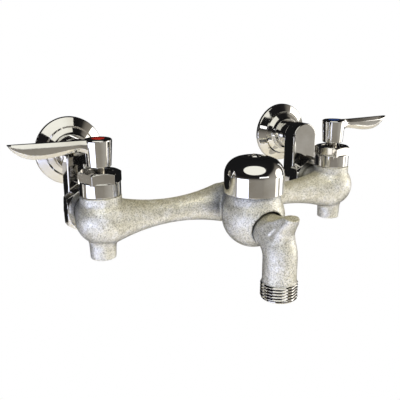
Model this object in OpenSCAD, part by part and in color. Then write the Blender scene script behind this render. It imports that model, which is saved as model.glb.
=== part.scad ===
// Wall-mounted yoke service faucet with offset shanks, vacuum breaker and pail-hook spout.
// Millimetres. The origin lies in the wall plane, midway between the two wall inlets.
// +X runs to the right seen from the front, +Y into the wall and +Z up.

/* [Layout] */
// Distance between the two valve axes
valve_span = 212; // [196:1:240]
// Distance from the wall to the valve axes
valve_reach = 77; // [76:0.5:90]
// Drop from the wall inlets down to the yoke axis
inlet_drop = 37; // [34:0.5:44]
// Distance from the valve axes forward to the vacuum breaker axis
breaker_lead = 36; // [34:0.5:40]
// Distance from the vacuum breaker axis forward to the outlet axis
outlet_lead = 35; // [33:0.5:44]
// Drop from the yoke axis down to the end of the outlet
outlet_drop = 55.5; // [50:0.5:80]

/* [Yoke casting] */
// Diameter of a cross arm at its waist
arm_waist_d = 18.8; // [17:0.1:20]
// Radius of the curve by which an arm flares towards both its ends
arm_flare_r = 150; // [130:1:200]
// Diameter of the cored waterways
waterway_d = 10; // [8:0.5:11]
// Diameter of the ball of a valve body
valve_ball_d = 37.6; // [36:0.1:42]
// Height of the bonnet seat above the yoke axis
neck_rise = 17.8; // [17:0.1:22]
// Diameter of a stop stub at its root
stub_root_d = 20.6; // [20:0.1:24]
// Diameter of a stop stub at its end
stub_end_d = 18.6; // [18:0.1:20]
// Drop from the yoke axis to the end of a stub
stub_drop = 29.5; // [28:0.5:36]
// Radius of the fillets between the balls and what grows out of them
cast_fillet = 3.5; // [2:0.1:5]
// Diameter of the threaded boss that carries a union nut
union_boss_d = 26.4; // [25:0.1:28]

/* [Vacuum breaker] */
// Diameter of the breaker ball
breaker_ball_d = 47.6; // [46:0.1:52]
// How far the ball's centre lies below the yoke axis
breaker_sink = 3.5; // [2:0.1:5]
// Diameter of the collar under the dome cap
collar_d = 39; // [37:0.1:40]
// Height of the collar's top above the yoke axis
collar_rise = 16.5; // [15:0.1:18]
// Diameter of the breaker chamber
chamber_d = 29; // [27:0.1:30]
// How far the dome cap stands out all round the collar
cap_overhang = 2.8; // [2.2:0.1:4]
// Height of the dome cap
cap_h = 27; // [26:0.1:32]
// Radius of the cap's rounded shoulder
cap_shoulder_r = 13; // [9:0.1:15]
// Wall of the dome cap
cap_wall = 1.2; // [0.8:0.1:1.6]
// How far the cap's rim lies below the collar's top
cap_skirt = 1.6; // [0.5:0.1:3]
// Travel of the breaker float
float_travel = 3; // [2:0.1:3.5]

/* [Spout] */
// Outer diameter of the spout tube
spout_d = 24.8; // [23:0.1:26]
// Diameter of the spout's waterway
spout_bore_d = 17; // [14:0.1:18]
// Depth of the spout's neck axis below the yoke axis
neck_sink = 9; // [8:0.1:10]
// Diameter of the boss that the spout seats on
spout_boss_d = 26.8; // [26.4:0.1:30]
// Diameter of the hose thread at the outlet
hose_thread_d = 27; // [26.4:0.1:28]
// Length of the hose thread
hose_thread_l = 13; // [11:0.5:18]
// Width of the pail hook's tip
hook_tip_w = 11; // [8:0.1:12]
// How far the hook's tip stands in front of the outlet axis
hook_reach = 16.4; // [15:0.1:19]
// Height of the hook's nose above the spout's neck axis
hook_rise = 14.5; // [13.5:0.1:17]

/* [Bonnet nut and cartridge] */
// Diameter of a bonnet nut's round skirt
bonnet_skirt_d = 29.3; // [28.5:0.1:32]
// Height of the skirt
bonnet_skirt_h = 10.4; // [9:0.1:13]
// Width across the flats of the bonnet nut's hex
bonnet_hex_af = 27; // [26.6:0.1:28.5]
// Height of the hex
bonnet_hex_h = 6.9; // [6:0.1:9]
// Diameter of the thread that a bonnet nut screws onto
neck_thread_d = 24.4; // [23.6:0.1:24.8]
// Diameter of the cartridge bore in the casting
cartridge_d = 19; // [18:0.1:20]
// Diameter of the valve stem
stem_d = 8; // [7:0.1:8.4]
// Thickness of a ceramic disc
disc_t = 3; // [2.5:0.1:3.2]

/* [Lever] */
// Distance from the hub axis to the tip of a lever
lever_reach = 60; // [45:0.5:90]
// Diameter of a lever hub at its top
hub_top_d = 19.6; // [18.5:0.1:22]
// Diameter of a lever hub at its foot
hub_foot_d = 17; // [16:0.1:18.5]
// Height of a lever hub
hub_h = 19.5; // [18:0.1:24]
// Gap between the bonnet nut and the lever hub
hub_gap = 3.1; // [2:0.1:5]
// Greatest depth of the lever blade
blade_depth = 10.8; // [8:0.1:13]
// Greatest thickness of the lever blade
blade_t = 6.4; // [4:0.1:8]
// Diameter of the index button
index_d = 9.4; // [8:0.1:11]

/* [Service stop] */
// Diameter of the stop chamber and its gland
stop_bore_d = 13.2; // [12.4:0.1:14]
// Diameter of the stop spindle
stop_spindle_d = 7; // [6:0.1:7.5]
// Travel of the stop washer from open to shut
stop_travel = 4.4; // [3.5:0.1:4.8]

/* [Union and offset shank] */
// Width across the flats of a union nut
union_nut_af = 36; // [35:0.1:41]
// Length of a union nut
union_nut_l = 12; // [11:0.1:14]
// Diameter of the two lobes of an offset arm
arm_lobe_d = 26; // [25.6:0.1:30]
// Thickness of an offset arm
arm_t = 15; // [13:0.1:16]
// Rounding of the offset arm's edges
arm_edge_r = 2.2; // [1:0.1:3]
// Outer diameter of the supply tube
supply_d = 25; // [24:0.1:25.4]
// Diameter of the pipe thread in the supply tube
pipe_thread_d = 18.6; // [18:0.1:19.5]
// Depth of the pipe thread
pipe_thread_l = 15; // [12:0.5:18]
// Diameter of a wall flange
flange_d = 55.4; // [50:0.1:66]
// How far a wall flange stands out from the wall
flange_h = 12.5; // [10:0.1:15]
// Thickness of a wall flange's shell
flange_wall = 1.6; // [1.2:0.1:2]

/* [Hidden] */
$fn = 96;

// Fits and clearances
running_gap = 0.06;     // between pieces that turn or slide on each other
assembly_gap = 0.1;     // between fixed pieces that are put together by hand
loose_gap = 0.3;        // where a moving piece only passes another one
seal_t = 0.8;           // thickness of a flat gasket
through = 1;            // how far a cutting shape runs past the surface it cuts
fillet_bite = 0.08;     // how far a fillet's foot reaches into the ball below it
stub_fillet_inset = 0.2;    // because a stub tapers

// Places of the axes
half_span = valve_span / 2;
breaker_y = -(valve_reach + breaker_lead);
outlet_y = breaker_y - outlet_lead;
yoke_z = -inlet_drop;

// Valve stack, all heights measured from the yoke axis
neck_d = bonnet_skirt_d + 2 * loose_gap;
neck_thread_h = 9;
neck_top = neck_rise + neck_thread_h;
bonnet_top = neck_rise + bonnet_skirt_h + bonnet_hex_h;
housing_flange_t = 3.3;
bonnet_web = bonnet_top - neck_top - housing_flange_t;
housing_neck_d = 18;
housing_inset = 0.4;         // of the housing's top, below the nut's
housing_top = bonnet_top - housing_inset;
cartridge_floor = 4;
seat_washer_t = 4.5;
fixed_disc_z = cartridge_floor + seat_washer_t;
turning_disc_z = fixed_disc_z + disc_t + running_gap;
driver_z = turning_disc_z + disc_t;
driver_t = 2.3;
disc_wall = 1.7;             // of the housing round the discs
disc_d = cartridge_d - 2 * disc_wall;
disc_port_d = disc_d * 0.27;
disc_port_x = disc_port_d;
disc_chamber_top = driver_z + driver_t + running_gap;
port_ring_d = cartridge_d + 4;
port_ring_z = driver_z - 2;
port_ring_h = 4.4;
hub_z = bonnet_top + hub_gap;
hub_top = hub_z + hub_h;
stem_reach = 11;             // into the lever's hub
stem_top = hub_z + stem_reach;
housing_groove = 1;
housing_seal_z = neck_top - 3;
side_port_w = 8;
stem_groove = 0.8;
stem_groove_w = 2;
stem_seal_zs = [neck_top - 4, neck_top];
lever_screw_d = 3.4;
lever_screw_head_d = 6.6;
lever_screw_l = 8;           // in the stem
index_seat_t = 1.8;
index_rise = 0.5;
screw_head_t = 2.6;
blade_inset = 0.4;           // of the blade's top edge, below the hub's top

// Service stop, measured from the yoke axis
stop_seat_z = -7;
stop_port_d = 8.6;
stop_washer_t = 2;
stop_head_t = 2;
stop_head_inset = 0.5;
stop_washer_z = stop_seat_z - stop_travel - loose_gap / 3 - stop_washer_t;
stop_washer_d = stop_bore_d - 2 * loose_gap;
stop_seal_w = 1.2;
stop_seal_h = 1.6;
gland_l = 9.5;
gland_inset = 0.8;          // from the stub's end
gland_z = -stub_drop + gland_inset;
spindle_inset = 2;
spindle_z = -stub_drop + spindle_inset;
spindle_slot_w = 1.4;
spindle_slot_h = 1.8;

// Cored passages of the casting
supply_drop_start = 15.5;   // behind the valve axis
supply_drop_tilt = 42;      // from the vertical
supply_drop_d = 7.2;
supply_drop_l = 15;
inlet_bore_l = 13;
arm_rise_d = 6;
arm_rise_overlap = 2;       // with the arm's waterway
arm_void_end = 19;          // from the valve axis
feed_drop = 8;
feed_wall = 1.8;

// The cross arms meet in a ball, from which a bridge runs forward to the breaker
arm_sink = breaker_sink * 0.3;      // the arms' axes fall towards the hub
arm_l = norm([half_span, arm_sink]);
arm_tilt = -atan2(arm_sink, half_span);
arm_waist_x = half_span * 0.48;
arm_end_inset = 1;          // of an arm's end, inside the valve's ball
hub_half_w = 8.8;
hub_cover = 0.5;
bridge_d = 30;

// Union joint, distances from the wall
arm_back_y = -25;
arm_front_y = arm_back_y - arm_t;
union_clearance = 1.5;      // between the arm and the nut
union_nut_back_y = arm_front_y - union_clearance;
union_web = 2;
tail_collar_t = 3;
tail_collar_y = union_nut_back_y - union_web - running_gap;
tail_end_y = tail_collar_y - tail_collar_t;
union_washer_t = 2;
union_washer_inset = 0.5;
boss_end_y = tail_end_y - running_gap - union_washer_t;
tail_neck_d = 20;
tail_collar_inset = 0.6;
tail_collar_d = union_boss_d - 2 * tail_collar_inset;
tail_bore_d = 14;
supply_end_y = -1;
arm_wall = 2.55;            // of the offset arm round its passage
flange_hub_wall = 2;
flange_hub_fillet = 3;
flange_rim_r = 4.5;
flange_dish_h = 7.5;
left_nut_turn = 14;
right_nut_turn = 3;

// Breaker, heights measured from the yoke axis unless named otherwise
ball_z = -breaker_sink;
collar_foot_rise = 10.5;
collar_foot_z = ball_z + collar_foot_rise;
collar_flare = 1.6;
collar_foot_d = collar_d + 2 * collar_flare;
chamber_depth = 14.5;        // below the ball's centre
chamber_floor = ball_z - chamber_depth;
riser_d = 16;
riser_top = 1;
float_d = 18;
float_rim = 0.5;            // of the float, proud of its washer
float_washer_t = 1.8;
float_t = 3.2;
float_top = riser_top + float_washer_t + float_t;
bonnet_foot = float_top + float_travel + running_gap;
bonnet_flange_t = 2;
bonnet_flange_z = collar_rise + seal_t;
bonnet_flange_d = collar_d - 2;
cap_d = collar_d + 2 * cap_overhang;
cap_rim = collar_rise - cap_skirt;
cap_top = cap_rim + cap_h;
cap_screw_head_d = 6.8;
cap_recess = 1.4;
cap_recess_d = cap_screw_head_d + 1.6;
cap_inner_top = cap_top - cap_wall - cap_recess;
cap_post_d = 8;
cap_screw_d = 4;
cap_screw_l = 7;            // below the cap's seat
cap_crown = 0.8;
vent_count = 6;
vent_d = 3.4;
vent_circle_d = 13;
guide_d = 5;
guide_l = 5;

// Spout, seat plane and neck axis
spot_face_depth = 5.8;      // of the spout's seat into the ball
spout_port_l = 4;
spout_seat_y = breaker_y - breaker_ball_d / 2 + spot_face_depth;
neck_z = yoke_z - neck_sink;
bend_r = spout_seat_y - outlet_y;
spigot_d = 20;
spigot_l = 8;
spout_washer_t = 1.2;
outlet_end_z = yoke_z - outlet_drop;
hook_lean = 36;             // of the nose, from the vertical
hook_ramp = 14;             // rise of the hook's back towards its crest
hook_crest = 9;             // how far the crest lies in front of the outlet axis
hook_flank_lean = 15;
hook_flank_taper = 11.3;
hook_root_y = 2;            // a point on the flank where it meets the tube's side
hook_root_drop = 4;
hook_root_inset = 0.3;
hook_back_inset = 1;        // of the hook's back, inside the bend
hook_crown = 1.8;           // fall of the crest towards its back
hook_fore_crown = 2.2;      // fall of the crest towards its tip
hook_face_inset = 1.2;      // of the flanks' front ends, behind the nose
hook_foot_drop = 3;
thread_chamfer = 1.2;

// ---------------------------------------------------------------- shared shapes

// Puts its children on the right-hand valve axis at the yoke's height
module right_valve() {
    translate([half_span, -valve_reach, yoke_z]) children();
}

// The same on the left, as a mirror image
module left_valve() {
    mirror([1, 0, 0]) right_valve() children();
}

// Puts its children on the breaker axis at the yoke's height
module at_breaker() {
    translate([0, breaker_y, yoke_z]) children();
}

// Puts its children on the right-hand wall inlet, with +Z pointing away from the wall
module right_inlet() {
    translate([half_span, 0, 0]) rotate([90, 0, 0]) children();
}

module left_inlet() {
    mirror([1, 0, 0]) right_inlet() children();
}

// Round bar along Z between two heights
module bar(d, low, high) {
    translate([0, 0, low]) cylinder(d = d, h = high - low);
}

// Ring along Z between two heights
module ring(outer_d, inner_d, low, high) {
    difference() {
        bar(outer_d, low, high);
        bar(inner_d, low - through, high + through);
    }
}

// O-ring lying on the outside of a shaft
module o_ring(shaft_d, section_d, z) {
    translate([0, 0, z]) rotate_extrude() translate([(shaft_d + section_d) / 2, 0])
        circle(d = section_d, $fn = 32);
}

// Groove for that O-ring, as deep as it needs to lie below the bore around it
module o_ring_groove(shaft_d, depth, width, z) {
    difference() {
        bar(shaft_d + through, z - width / 2, z + width / 2);
        bar(shaft_d - 2 * depth, z - width, z + width);
    }
}

// Half profile of the fillet between a ball and a round post that leaves it along +Y
module fillet_2d(ball_r, post_r, r) {
    rise = sqrt(pow(ball_r + r, 2) - pow(post_r + r, 2));
    difference() {
        polygon([[0, 0], [post_r + r, rise], [0, rise]]);
        translate([post_r + r, rise]) circle(r = r);
    }
}

// Solid of that fillet, around +Z
module ball_fillet(ball_r, post_r, r) {
    rotate_extrude() fillet_2d(ball_r - fillet_bite, post_r, r);
}

// Hexagonal prism with its corners turned down at the marked ends
module hex_bar(af, low, high, turned_low, turned_high) {
    corner_r = af / sqrt(3);
    turn = corner_r - af / 2;
    intersection() {
        translate([0, 0, low]) cylinder(r = corner_r, h = high - low, $fn = 6);
        rotate_extrude() polygon([
            [0, low], [turned_low ? af / 2 : corner_r + turn, low],
            [corner_r + turn, low + (turned_low ? turn : 0)],
            [corner_r + turn, high - (turned_high ? turn : 0)],
            [turned_high ? af / 2 : corner_r + turn, high], [0, high]]);
    }
}

// ---------------------------------------------------------------- yoke casting

// Radius to which an arm has flared at the given distance from its waist
function arm_r(from_waist) = arm_waist_d / 2 + arm_flare_r
    - sqrt(pow(arm_flare_r, 2) - pow(from_waist, 2));

hub_r = arm_r(arm_waist_x - hub_half_w);

// Lays its children, drawn from the hub out along +Z, on the right-hand cross arm
module on_cross_arm() {
    translate([0, -valve_reach, yoke_z - arm_sink]) rotate([0, 90 - arm_tilt, 0]) children();
}

// One cross arm: a round bar with a waist and an arc that flares it towards both its ends
module cross_arm() {
    on_cross_arm() rotate_extrude() difference() {
        union() {
            square([hub_r, arm_waist_x]);
            translate([0, arm_waist_x]) square([valve_ball_d / 2 - arm_end_inset, arm_l - arm_waist_x]);
        }
        translate([arm_waist_d / 2 + arm_flare_r, arm_waist_x]) circle(r = arm_flare_r, $fn = 720);
    }
}

module valve_body_solid() {
    ball_r = valve_ball_d / 2;
    sphere(d = valve_ball_d);
    bar(neck_d, 0, neck_rise);
    bar(neck_thread_d, neck_rise, neck_top);
    ball_fillet(ball_r, neck_d / 2, cast_fillet / 2);
    translate([0, 0, -stub_drop])
        cylinder(d1 = stub_end_d, d2 = stub_root_d, h = stub_drop - ball_r / 2);
    mirror([0, 0, 1]) ball_fillet(ball_r, stub_root_d / 2 - stub_fillet_inset, cast_fillet);
    rotate([-90, 0, 0]) {
        bar(union_boss_d, 0, valve_reach + boss_end_y);
        ball_fillet(ball_r, union_boss_d / 2, cast_fillet / 2);
    }
}

module valve_body_voids() {
    bar(cartridge_d + 2 * assembly_gap, cartridge_floor, neck_top + through);
    bar(port_ring_d, port_ring_z, port_ring_z + port_ring_h);
    bar(stop_port_d, stop_seat_z - through, cartridge_floor + through);
    bar(stop_bore_d + 2 * assembly_gap, -stub_drop - through, stop_seat_z);
    // Supply passage: in through the union boss, then down behind the stop seat
    inlet_l = valve_reach + boss_end_y;
    rotate([-90, 0, 0]) bar(tail_bore_d, inlet_l - inlet_bore_l, inlet_l + through);
    translate([0, supply_drop_start, 0]) rotate([180 - supply_drop_tilt, 0, 0])
        cylinder(d = supply_drop_d, h = supply_drop_l);
    // Outlet passage: down from the port ring into the arm's waterway
    rise_x = (port_ring_d - arm_rise_d) / 2;
    rise_z = port_ring_z + through;
    rise_end = arm_void_end + arm_rise_overlap;
    translate([-rise_x, 0, rise_z]) rotate([0, 180 + atan2(rise_end - rise_x, rise_z), 0])
        cylinder(d = arm_rise_d, h = norm([rise_end - rise_x, rise_z]));
}

module breaker_body_solid() {
    // The ball ends inside the collar, whatever its size
    intersection() {
        translate([0, 0, ball_z]) sphere(d = breaker_ball_d);
        bar(2 * breaker_ball_d, ball_z - breaker_ball_d, collar_rise - through);
    }
    bar(collar_foot_d, ball_z, collar_foot_z);
    translate([0, 0, collar_foot_z])
        cylinder(d1 = collar_foot_d, d2 = collar_d, h = collar_rise - collar_foot_z);
    translate([0, 0, -neck_sink]) rotate([90, 0, 0]) bar(spout_boss_d, 0, breaker_y - spout_seat_y);
}

// Chamber with its riser and the passage that feeds the riser from behind
module breaker_chamber() {
    feed_tilt = atan2(feed_drop, breaker_lead);
    feed_l = norm([breaker_lead, feed_drop]);
    difference() {
        bar(chamber_d, chamber_floor, ball_z + breaker_ball_d / 2 + through);
        bar(riser_d, chamber_floor - through, riser_top);
        translate([0, breaker_lead, 0]) rotate([90 + feed_tilt, 0, 0])
            cylinder(d = waterway_d + 2 * feed_wall, h = feed_l);
    }
    translate([0, breaker_lead, 0]) rotate([90 + feed_tilt, 0, 0])
        cylinder(d = waterway_d, h = feed_l);
    bar(waterway_d, -feed_drop - waterway_d / 2, riser_top + through);
}

module yoke_body() {
    color("lightgray") difference() {
        union() {
            cross_arm();
            mirror([1, 0, 0]) cross_arm();
            translate([0, -valve_reach, yoke_z - arm_sink]) {
                rotate([0, 90, 0]) sphere(r = hub_r + hub_cover);
                rotate([90, 0, 0]) cylinder(d = bridge_d, h = breaker_lead);
            }
            left_valve() valve_body_solid();
            right_valve() valve_body_solid();
            at_breaker() breaker_body_solid();
        }
        left_valve() valve_body_voids();
        right_valve() valve_body_voids();
        at_breaker() breaker_chamber();
        on_cross_arm() bar(waterway_d, -through, arm_l - arm_void_end);
        mirror([1, 0, 0]) on_cross_arm() bar(waterway_d, -through, arm_l - arm_void_end);
        // Spot face, counterbore and outlet port for the spout
        translate([0, spout_seat_y, neck_z]) rotate([90, 0, 0])
            cylinder(d = spout_boss_d, h = breaker_ball_d / 2);
        translate([0, spout_seat_y, neck_z]) rotate([-90, 0, 0]) {
            bar(spigot_d + 2 * assembly_gap, -through, spigot_l + spout_washer_t);
            bar(spout_bore_d, -through, spigot_l + spout_washer_t + spout_port_l);
        }
    }
}

// ---------------------------------------------------------------- spout

// Bar through the spout from side to side; its outline gives the distance forward, then the height
module across_spout(outline) {
    rotate([90, 0, -90]) linear_extrude(2 * spout_d, center = true) polygon(outline);
}

// Everything outside the flat right-hand flank of the pail hook
module beside_hook() {
    translate([spout_d / 2 - hook_root_inset, hook_root_y, -hook_root_drop])
        rotate([0, -hook_flank_lean, -hook_flank_taper])
        translate([0, -spout_d, -spout_d]) cube(2 * spout_d);
}

// Tongue that rises from the neck's top and leans forward, with flat flanks and a round nose
module pail_hook() {
    back = -bend_r + hook_back_inset;
    front = hook_reach + through;
    lean = tan(hook_lean);
    nose_f = hook_reach - hook_tip_w / 2 / cos(hook_lean) - lean * hook_rise;
    face_f = nose_f - hook_face_inset;
    intersection() {
        translate([0, bend_r / 2, 0]) rotate([90 - hook_ramp, 0, 0])
            cylinder(d = spout_d, h = 3 * spout_d, center = true);
        across_spout([[back, -spout_d / 2], [back, hook_rise + hook_fore_crown + hook_crown],
            [hook_crest, hook_rise + hook_fore_crown], [front, hook_rise], [front, -spout_d / 2]]);
        union() {
            difference() {
                across_spout([[back, -hook_foot_drop], [back, spout_d],
                    [face_f + lean * spout_d, spout_d], [face_f - lean * hook_foot_drop, -hook_foot_drop]]);
                beside_hook();
                mirror([1, 0, 0]) beside_hook();
            }
            translate([0, -nose_f, 0]) rotate([hook_lean, 0, 0])
                cylinder(d = hook_tip_w, h = 2 * spout_d);
        }
    }
}

// Round section of the given diameter that runs the spout's path from its seat to its end
module spout_path(d, end_z) {
    translate([0, bend_r, -bend_r]) rotate([90, 0, -90])
        rotate_extrude(angle = 90) translate([bend_r, 0]) circle(d = d);
    bar(d, end_z, -bend_r);
}

module spout() {
    end_z = outlet_end_z - neck_z;
    color("lightgray") translate([0, outlet_y, neck_z]) difference() {
        union() {
            spout_path(spout_d, end_z + hose_thread_l - thread_chamfer);
            pail_hook();
            translate([0, 0, end_z]) {
                cylinder(d1 = hose_thread_d - 2 * thread_chamfer, d2 = hose_thread_d,
                    h = thread_chamfer);
                bar(hose_thread_d, thread_chamfer, hose_thread_l - thread_chamfer);
                translate([0, 0, hose_thread_l - thread_chamfer])
                    cylinder(d1 = hose_thread_d, d2 = spout_d, h = thread_chamfer);
            }
            translate([0, bend_r, 0]) rotate([-90, 0, 0]) cylinder(d = spigot_d, h = spigot_l);
        }
        spout_path(spout_bore_d, end_z - through);
        rotate([-90, 0, 0]) bar(spout_bore_d, bend_r, bend_r + spigot_l + through);
    }
}

module spout_washer() {
    color("dimgray") translate([0, spout_seat_y + spigot_l, neck_z]) rotate([-90, 0, 0])
        ring(spigot_d, spout_bore_d, 0, spout_washer_t);
}

// ---------------------------------------------------------------- vacuum breaker

module breaker_float() {
    color("white") at_breaker() {
        bar(float_d, riser_top + float_washer_t, float_top);
        bar(guide_d - 2 * running_gap, float_top, bonnet_foot + guide_l);
    }
}

module breaker_float_washer() {
    color("black") at_breaker() bar(float_d - 2 * float_rim, riser_top, riser_top + float_washer_t);
}

module vent_bonnet() {
    color("goldenrod") at_breaker() difference() {
        union() {
            bar(chamber_d - 2 * assembly_gap, bonnet_foot, bonnet_flange_z);
            bar(bonnet_flange_d, bonnet_flange_z, bonnet_flange_z + bonnet_flange_t);
            bar(cap_post_d, bonnet_flange_z, cap_inner_top);
        }
        bar(guide_d, bonnet_foot - through, bonnet_foot + guide_l + float_travel + loose_gap);
        for (i = [0 : vent_count - 1]) rotate([0, 0, i * 360 / vent_count])
            translate([vent_circle_d / 2, 0, 0])
                bar(vent_d, bonnet_foot - through, cap_top);
        bar(cap_screw_d, cap_inner_top - cap_screw_l - through, cap_inner_top + through);
    }
}

module vent_bonnet_gasket() {
    color("black") at_breaker()
        ring(bonnet_flange_d, chamber_d, collar_rise, collar_rise + seal_t);
}

// Outline of the cap, from the axis to the given radius, with a rounded shoulder
module cap_outline(r, shoulder, low, high) {
    crown_r = (pow(r - shoulder, 2) + pow(cap_crown, 2)) / (2 * cap_crown);
    translate([0, low]) square([r, high - cap_crown - shoulder - low]);
    translate([0, low]) square([r - shoulder, high - cap_crown - low]);
    intersection() {
        translate([r - shoulder, high - cap_crown - shoulder]) circle(r = shoulder);
        square([r, high + r]);
    }
    intersection() {
        translate([0, high - crown_r]) circle(r = crown_r, $fn = 360);
        translate([0, high - 2 * cap_crown]) square([r - shoulder, 3 * cap_crown]);
    }
}

module dome_cap() {
    r = cap_d / 2;
    color("silver") at_breaker() difference() {
        rotate_extrude() difference() {
            cap_outline(r, cap_shoulder_r, cap_rim, cap_top);
            difference() {
                translate([0, -through]) cap_outline(r - cap_wall, cap_shoulder_r - cap_wall,
                    cap_rim, cap_top - cap_wall + through);
                translate([0, cap_inner_top]) square([cap_recess_d / 2 + cap_wall, cap_h]);
            }
        }
        bar(cap_recess_d, cap_top - cap_recess, cap_top + through);
        bar(cap_screw_d + 2 * assembly_gap, cap_rim, cap_top + through);
    }
}

module cap_screw() {
    head_h = 2.4;
    slot_w = 1.2;
    head_z = cap_top - cap_recess;
    color("gainsboro") at_breaker() difference() {
        union() {
            bar(cap_screw_d, cap_inner_top - cap_screw_l, head_z);
            bar(cap_screw_head_d, head_z, head_z + head_h / 2);
            translate([0, 0, head_z + head_h / 2]) intersection() {
                sphere(d = cap_screw_head_d);
                bar(cap_screw_head_d, 0, head_h / 2);
            }
        }
        translate([-cap_screw_head_d, -slot_w / 2, head_z + head_h / 2])
            cube([2 * cap_screw_head_d, slot_w, head_h]);
    }
}

// ---------------------------------------------------------------- valve

module bonnet_nut() {
    edge = 0.9;
    color("silver") difference() {
        union() {
            rotate_extrude() polygon([
                [0, neck_rise], [bonnet_skirt_d / 2 - edge, neck_rise],
                [bonnet_skirt_d / 2, neck_rise + edge],
                [bonnet_skirt_d / 2, neck_rise + bonnet_skirt_h - edge],
                [bonnet_skirt_d / 2 - edge, neck_rise + bonnet_skirt_h],
                [0, neck_rise + bonnet_skirt_h]]);
            hex_bar(bonnet_hex_af, neck_rise + bonnet_skirt_h - edge, bonnet_top, false, true);
        }
        bar(neck_thread_d + 2 * assembly_gap, neck_rise - through, bonnet_top - bonnet_web);
        bar(housing_neck_d + 2 * assembly_gap, neck_rise, bonnet_top + through);
    }
}

module cartridge_housing() {
    color("goldenrod") difference() {
        union() {
            bar(cartridge_d, fixed_disc_z, neck_top);
            bar(neck_thread_d - 2 * assembly_gap, neck_top, neck_top + housing_flange_t);
            bar(housing_neck_d, neck_top, housing_top);
        }
        bar(disc_d + 2 * assembly_gap, fixed_disc_z - through, disc_chamber_top);
        bar(stem_d + 2 * running_gap, 0, housing_top + through);
        // Side ports, one on each side
        translate([-cartridge_d, -side_port_w / 2, driver_z - through])
            cube([2 * cartridge_d, side_port_w, driver_t]);
        o_ring_groove(cartridge_d, housing_groove, 2 * housing_groove, housing_seal_z);
    }
}

module housing_seal() {
    color("black") o_ring(cartridge_d - 2 * housing_groove, housing_groove, housing_seal_z);
}

module seat_washer() {
    color("black") ring(cartridge_d, stop_port_d, cartridge_floor, fixed_disc_z);
}

// Ceramic disc with two ports; turned by a quarter it opens or shuts them
module ceramic_disc(z, turned) {
    difference() {
        bar(disc_d, z, z + disc_t);
        for (side = [-1, 1]) rotate([0, 0, turned]) translate([side * disc_port_x, 0, 0])
            bar(disc_port_d, z - through, z + disc_t + through);
    }
}

module fixed_disc() {
    color("white") ceramic_disc(fixed_disc_z, 90);
}

module turning_disc() {
    color("whitesmoke") ceramic_disc(turning_disc_z, 0);
}

module stem() {
    color("goldenrod") difference() {
        union() {
            bar(disc_d - 2 * loose_gap, driver_z, driver_z + driver_t);
            bar(stem_d, driver_z, stem_top);
        }
        // Ports through the driver, in line with the disc above which it lies
        for (side = [-1, 1]) translate([side * disc_port_x, 0, 0])
            bar(disc_port_d, driver_z - through, driver_z + driver_t + through);
        for (z = stem_seal_zs) o_ring_groove(stem_d, stem_groove, stem_groove_w, z);
        bar(lever_screw_d, stem_top - lever_screw_l - through, stem_top + through);
    }
}

module stem_seals() {
    color("black") for (z = stem_seal_zs) o_ring(stem_d - 2 * stem_groove, stem_groove, z);
}

// ---------------------------------------------------------------- lever

// Depth of the blade below its top edge, by the distance from the hub axis
function blade_drop(x) =
    let (root = hub_top_d / 2, belly = lever_reach * 0.66, root_drop = blade_depth * 0.69)
    x < belly
        ? root_drop + (blade_depth - root_drop) * (1 - cos(180 * (x - root) / (belly - root))) / 2
        : blade_depth * pow(max(0, 1 - pow((x - belly) / (lever_reach - belly), 2.4)), 0.72);

// Rise of the blade's top edge towards the tip
function blade_lift(x) = 0.6 * pow(x / lever_reach, 2);

// Half thickness of the blade
function blade_half_t(x) = blade_t / 2 * (1 - 0.35 * pow(x / lever_reach, 3));

// One cross-section of the blade: flat faces with bevelled edges, eight corners
function blade_section(x) =
    let (high = hub_top - blade_inset + blade_lift(x), drop = max(blade_drop(x), 0.9), t = blade_half_t(x),
         bevel = min(1.9, drop * 0.3), thin = t * 0.42)
    [[x, -thin, high], [x, -t, high - bevel], [x, -t, high - drop + bevel], [x, -thin, high - drop],
     [x, thin, high - drop], [x, t, high - drop + bevel], [x, t, high - bevel], [x, thin, high]];

// The blade, lofted through its sections from inside the hub to the tip
module blade() {
    root = hub_foot_d / 4;
    steps = 34;
    stations = [for (i = [0 : steps]) root + (lever_reach - root) * sin(90 * i / steps)];
    points = [for (x = stations) each blade_section(x)];
    last = 8 * steps;
    polyhedron(points = points, faces = concat(
        [[0, 1, 2, 3, 4, 5, 6, 7]], [[for (k = [7 : -1 : 0]) last + k]],
        [for (i = [0 : steps - 1], k = [0 : 7]) each [
            [8 * i + k, 8 * i + 8 + k, 8 * i + 8 + (k + 1) % 8],
            [8 * i + k, 8 * i + 8 + (k + 1) % 8, 8 * i + (k + 1) % 8]]]));
}

module lever() {
    edge = 1.6;
    foot_edge = 0.5;
    foot_r = hub_foot_d / 2;
    top_r = hub_top_d / 2;
    color("silver") difference() {
        union() {
            rotate_extrude() {
                polygon([
                    [0, hub_z], [foot_r - foot_edge, hub_z], [foot_r, hub_z + foot_edge],
                    [top_r, hub_top - edge], [0, hub_top - edge]]);
                translate([0, hub_top - 2 * edge]) square([top_r - edge, 2 * edge]);
                intersection() {
                    translate([top_r - edge, hub_top - edge]) circle(r = edge);
                    square([top_r, hub_top]);
                }
            }
            blade();
        }
        bar(stem_d + 2 * assembly_gap, hub_z - through, stem_top + assembly_gap);
        bar(lever_screw_d + 2 * assembly_gap, hub_z, hub_top);
        bar(lever_screw_head_d + 2 * assembly_gap, hub_top - index_seat_t - screw_head_t, hub_top);
        bar(index_d + 2 * assembly_gap, hub_top - index_seat_t, hub_top + through);
    }
}

module lever_screw() {
    head_z = hub_top - index_seat_t - screw_head_t;
    color("gainsboro") difference() {
        union() {
            bar(lever_screw_d, stem_top - lever_screw_l, head_z);
            bar(lever_screw_head_d, head_z, head_z + screw_head_t - assembly_gap);
        }
        translate([0, 0, head_z + screw_head_t / 2])
            cylinder(d = lever_screw_d, h = screw_head_t, $fn = 6);
    }
}

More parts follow.
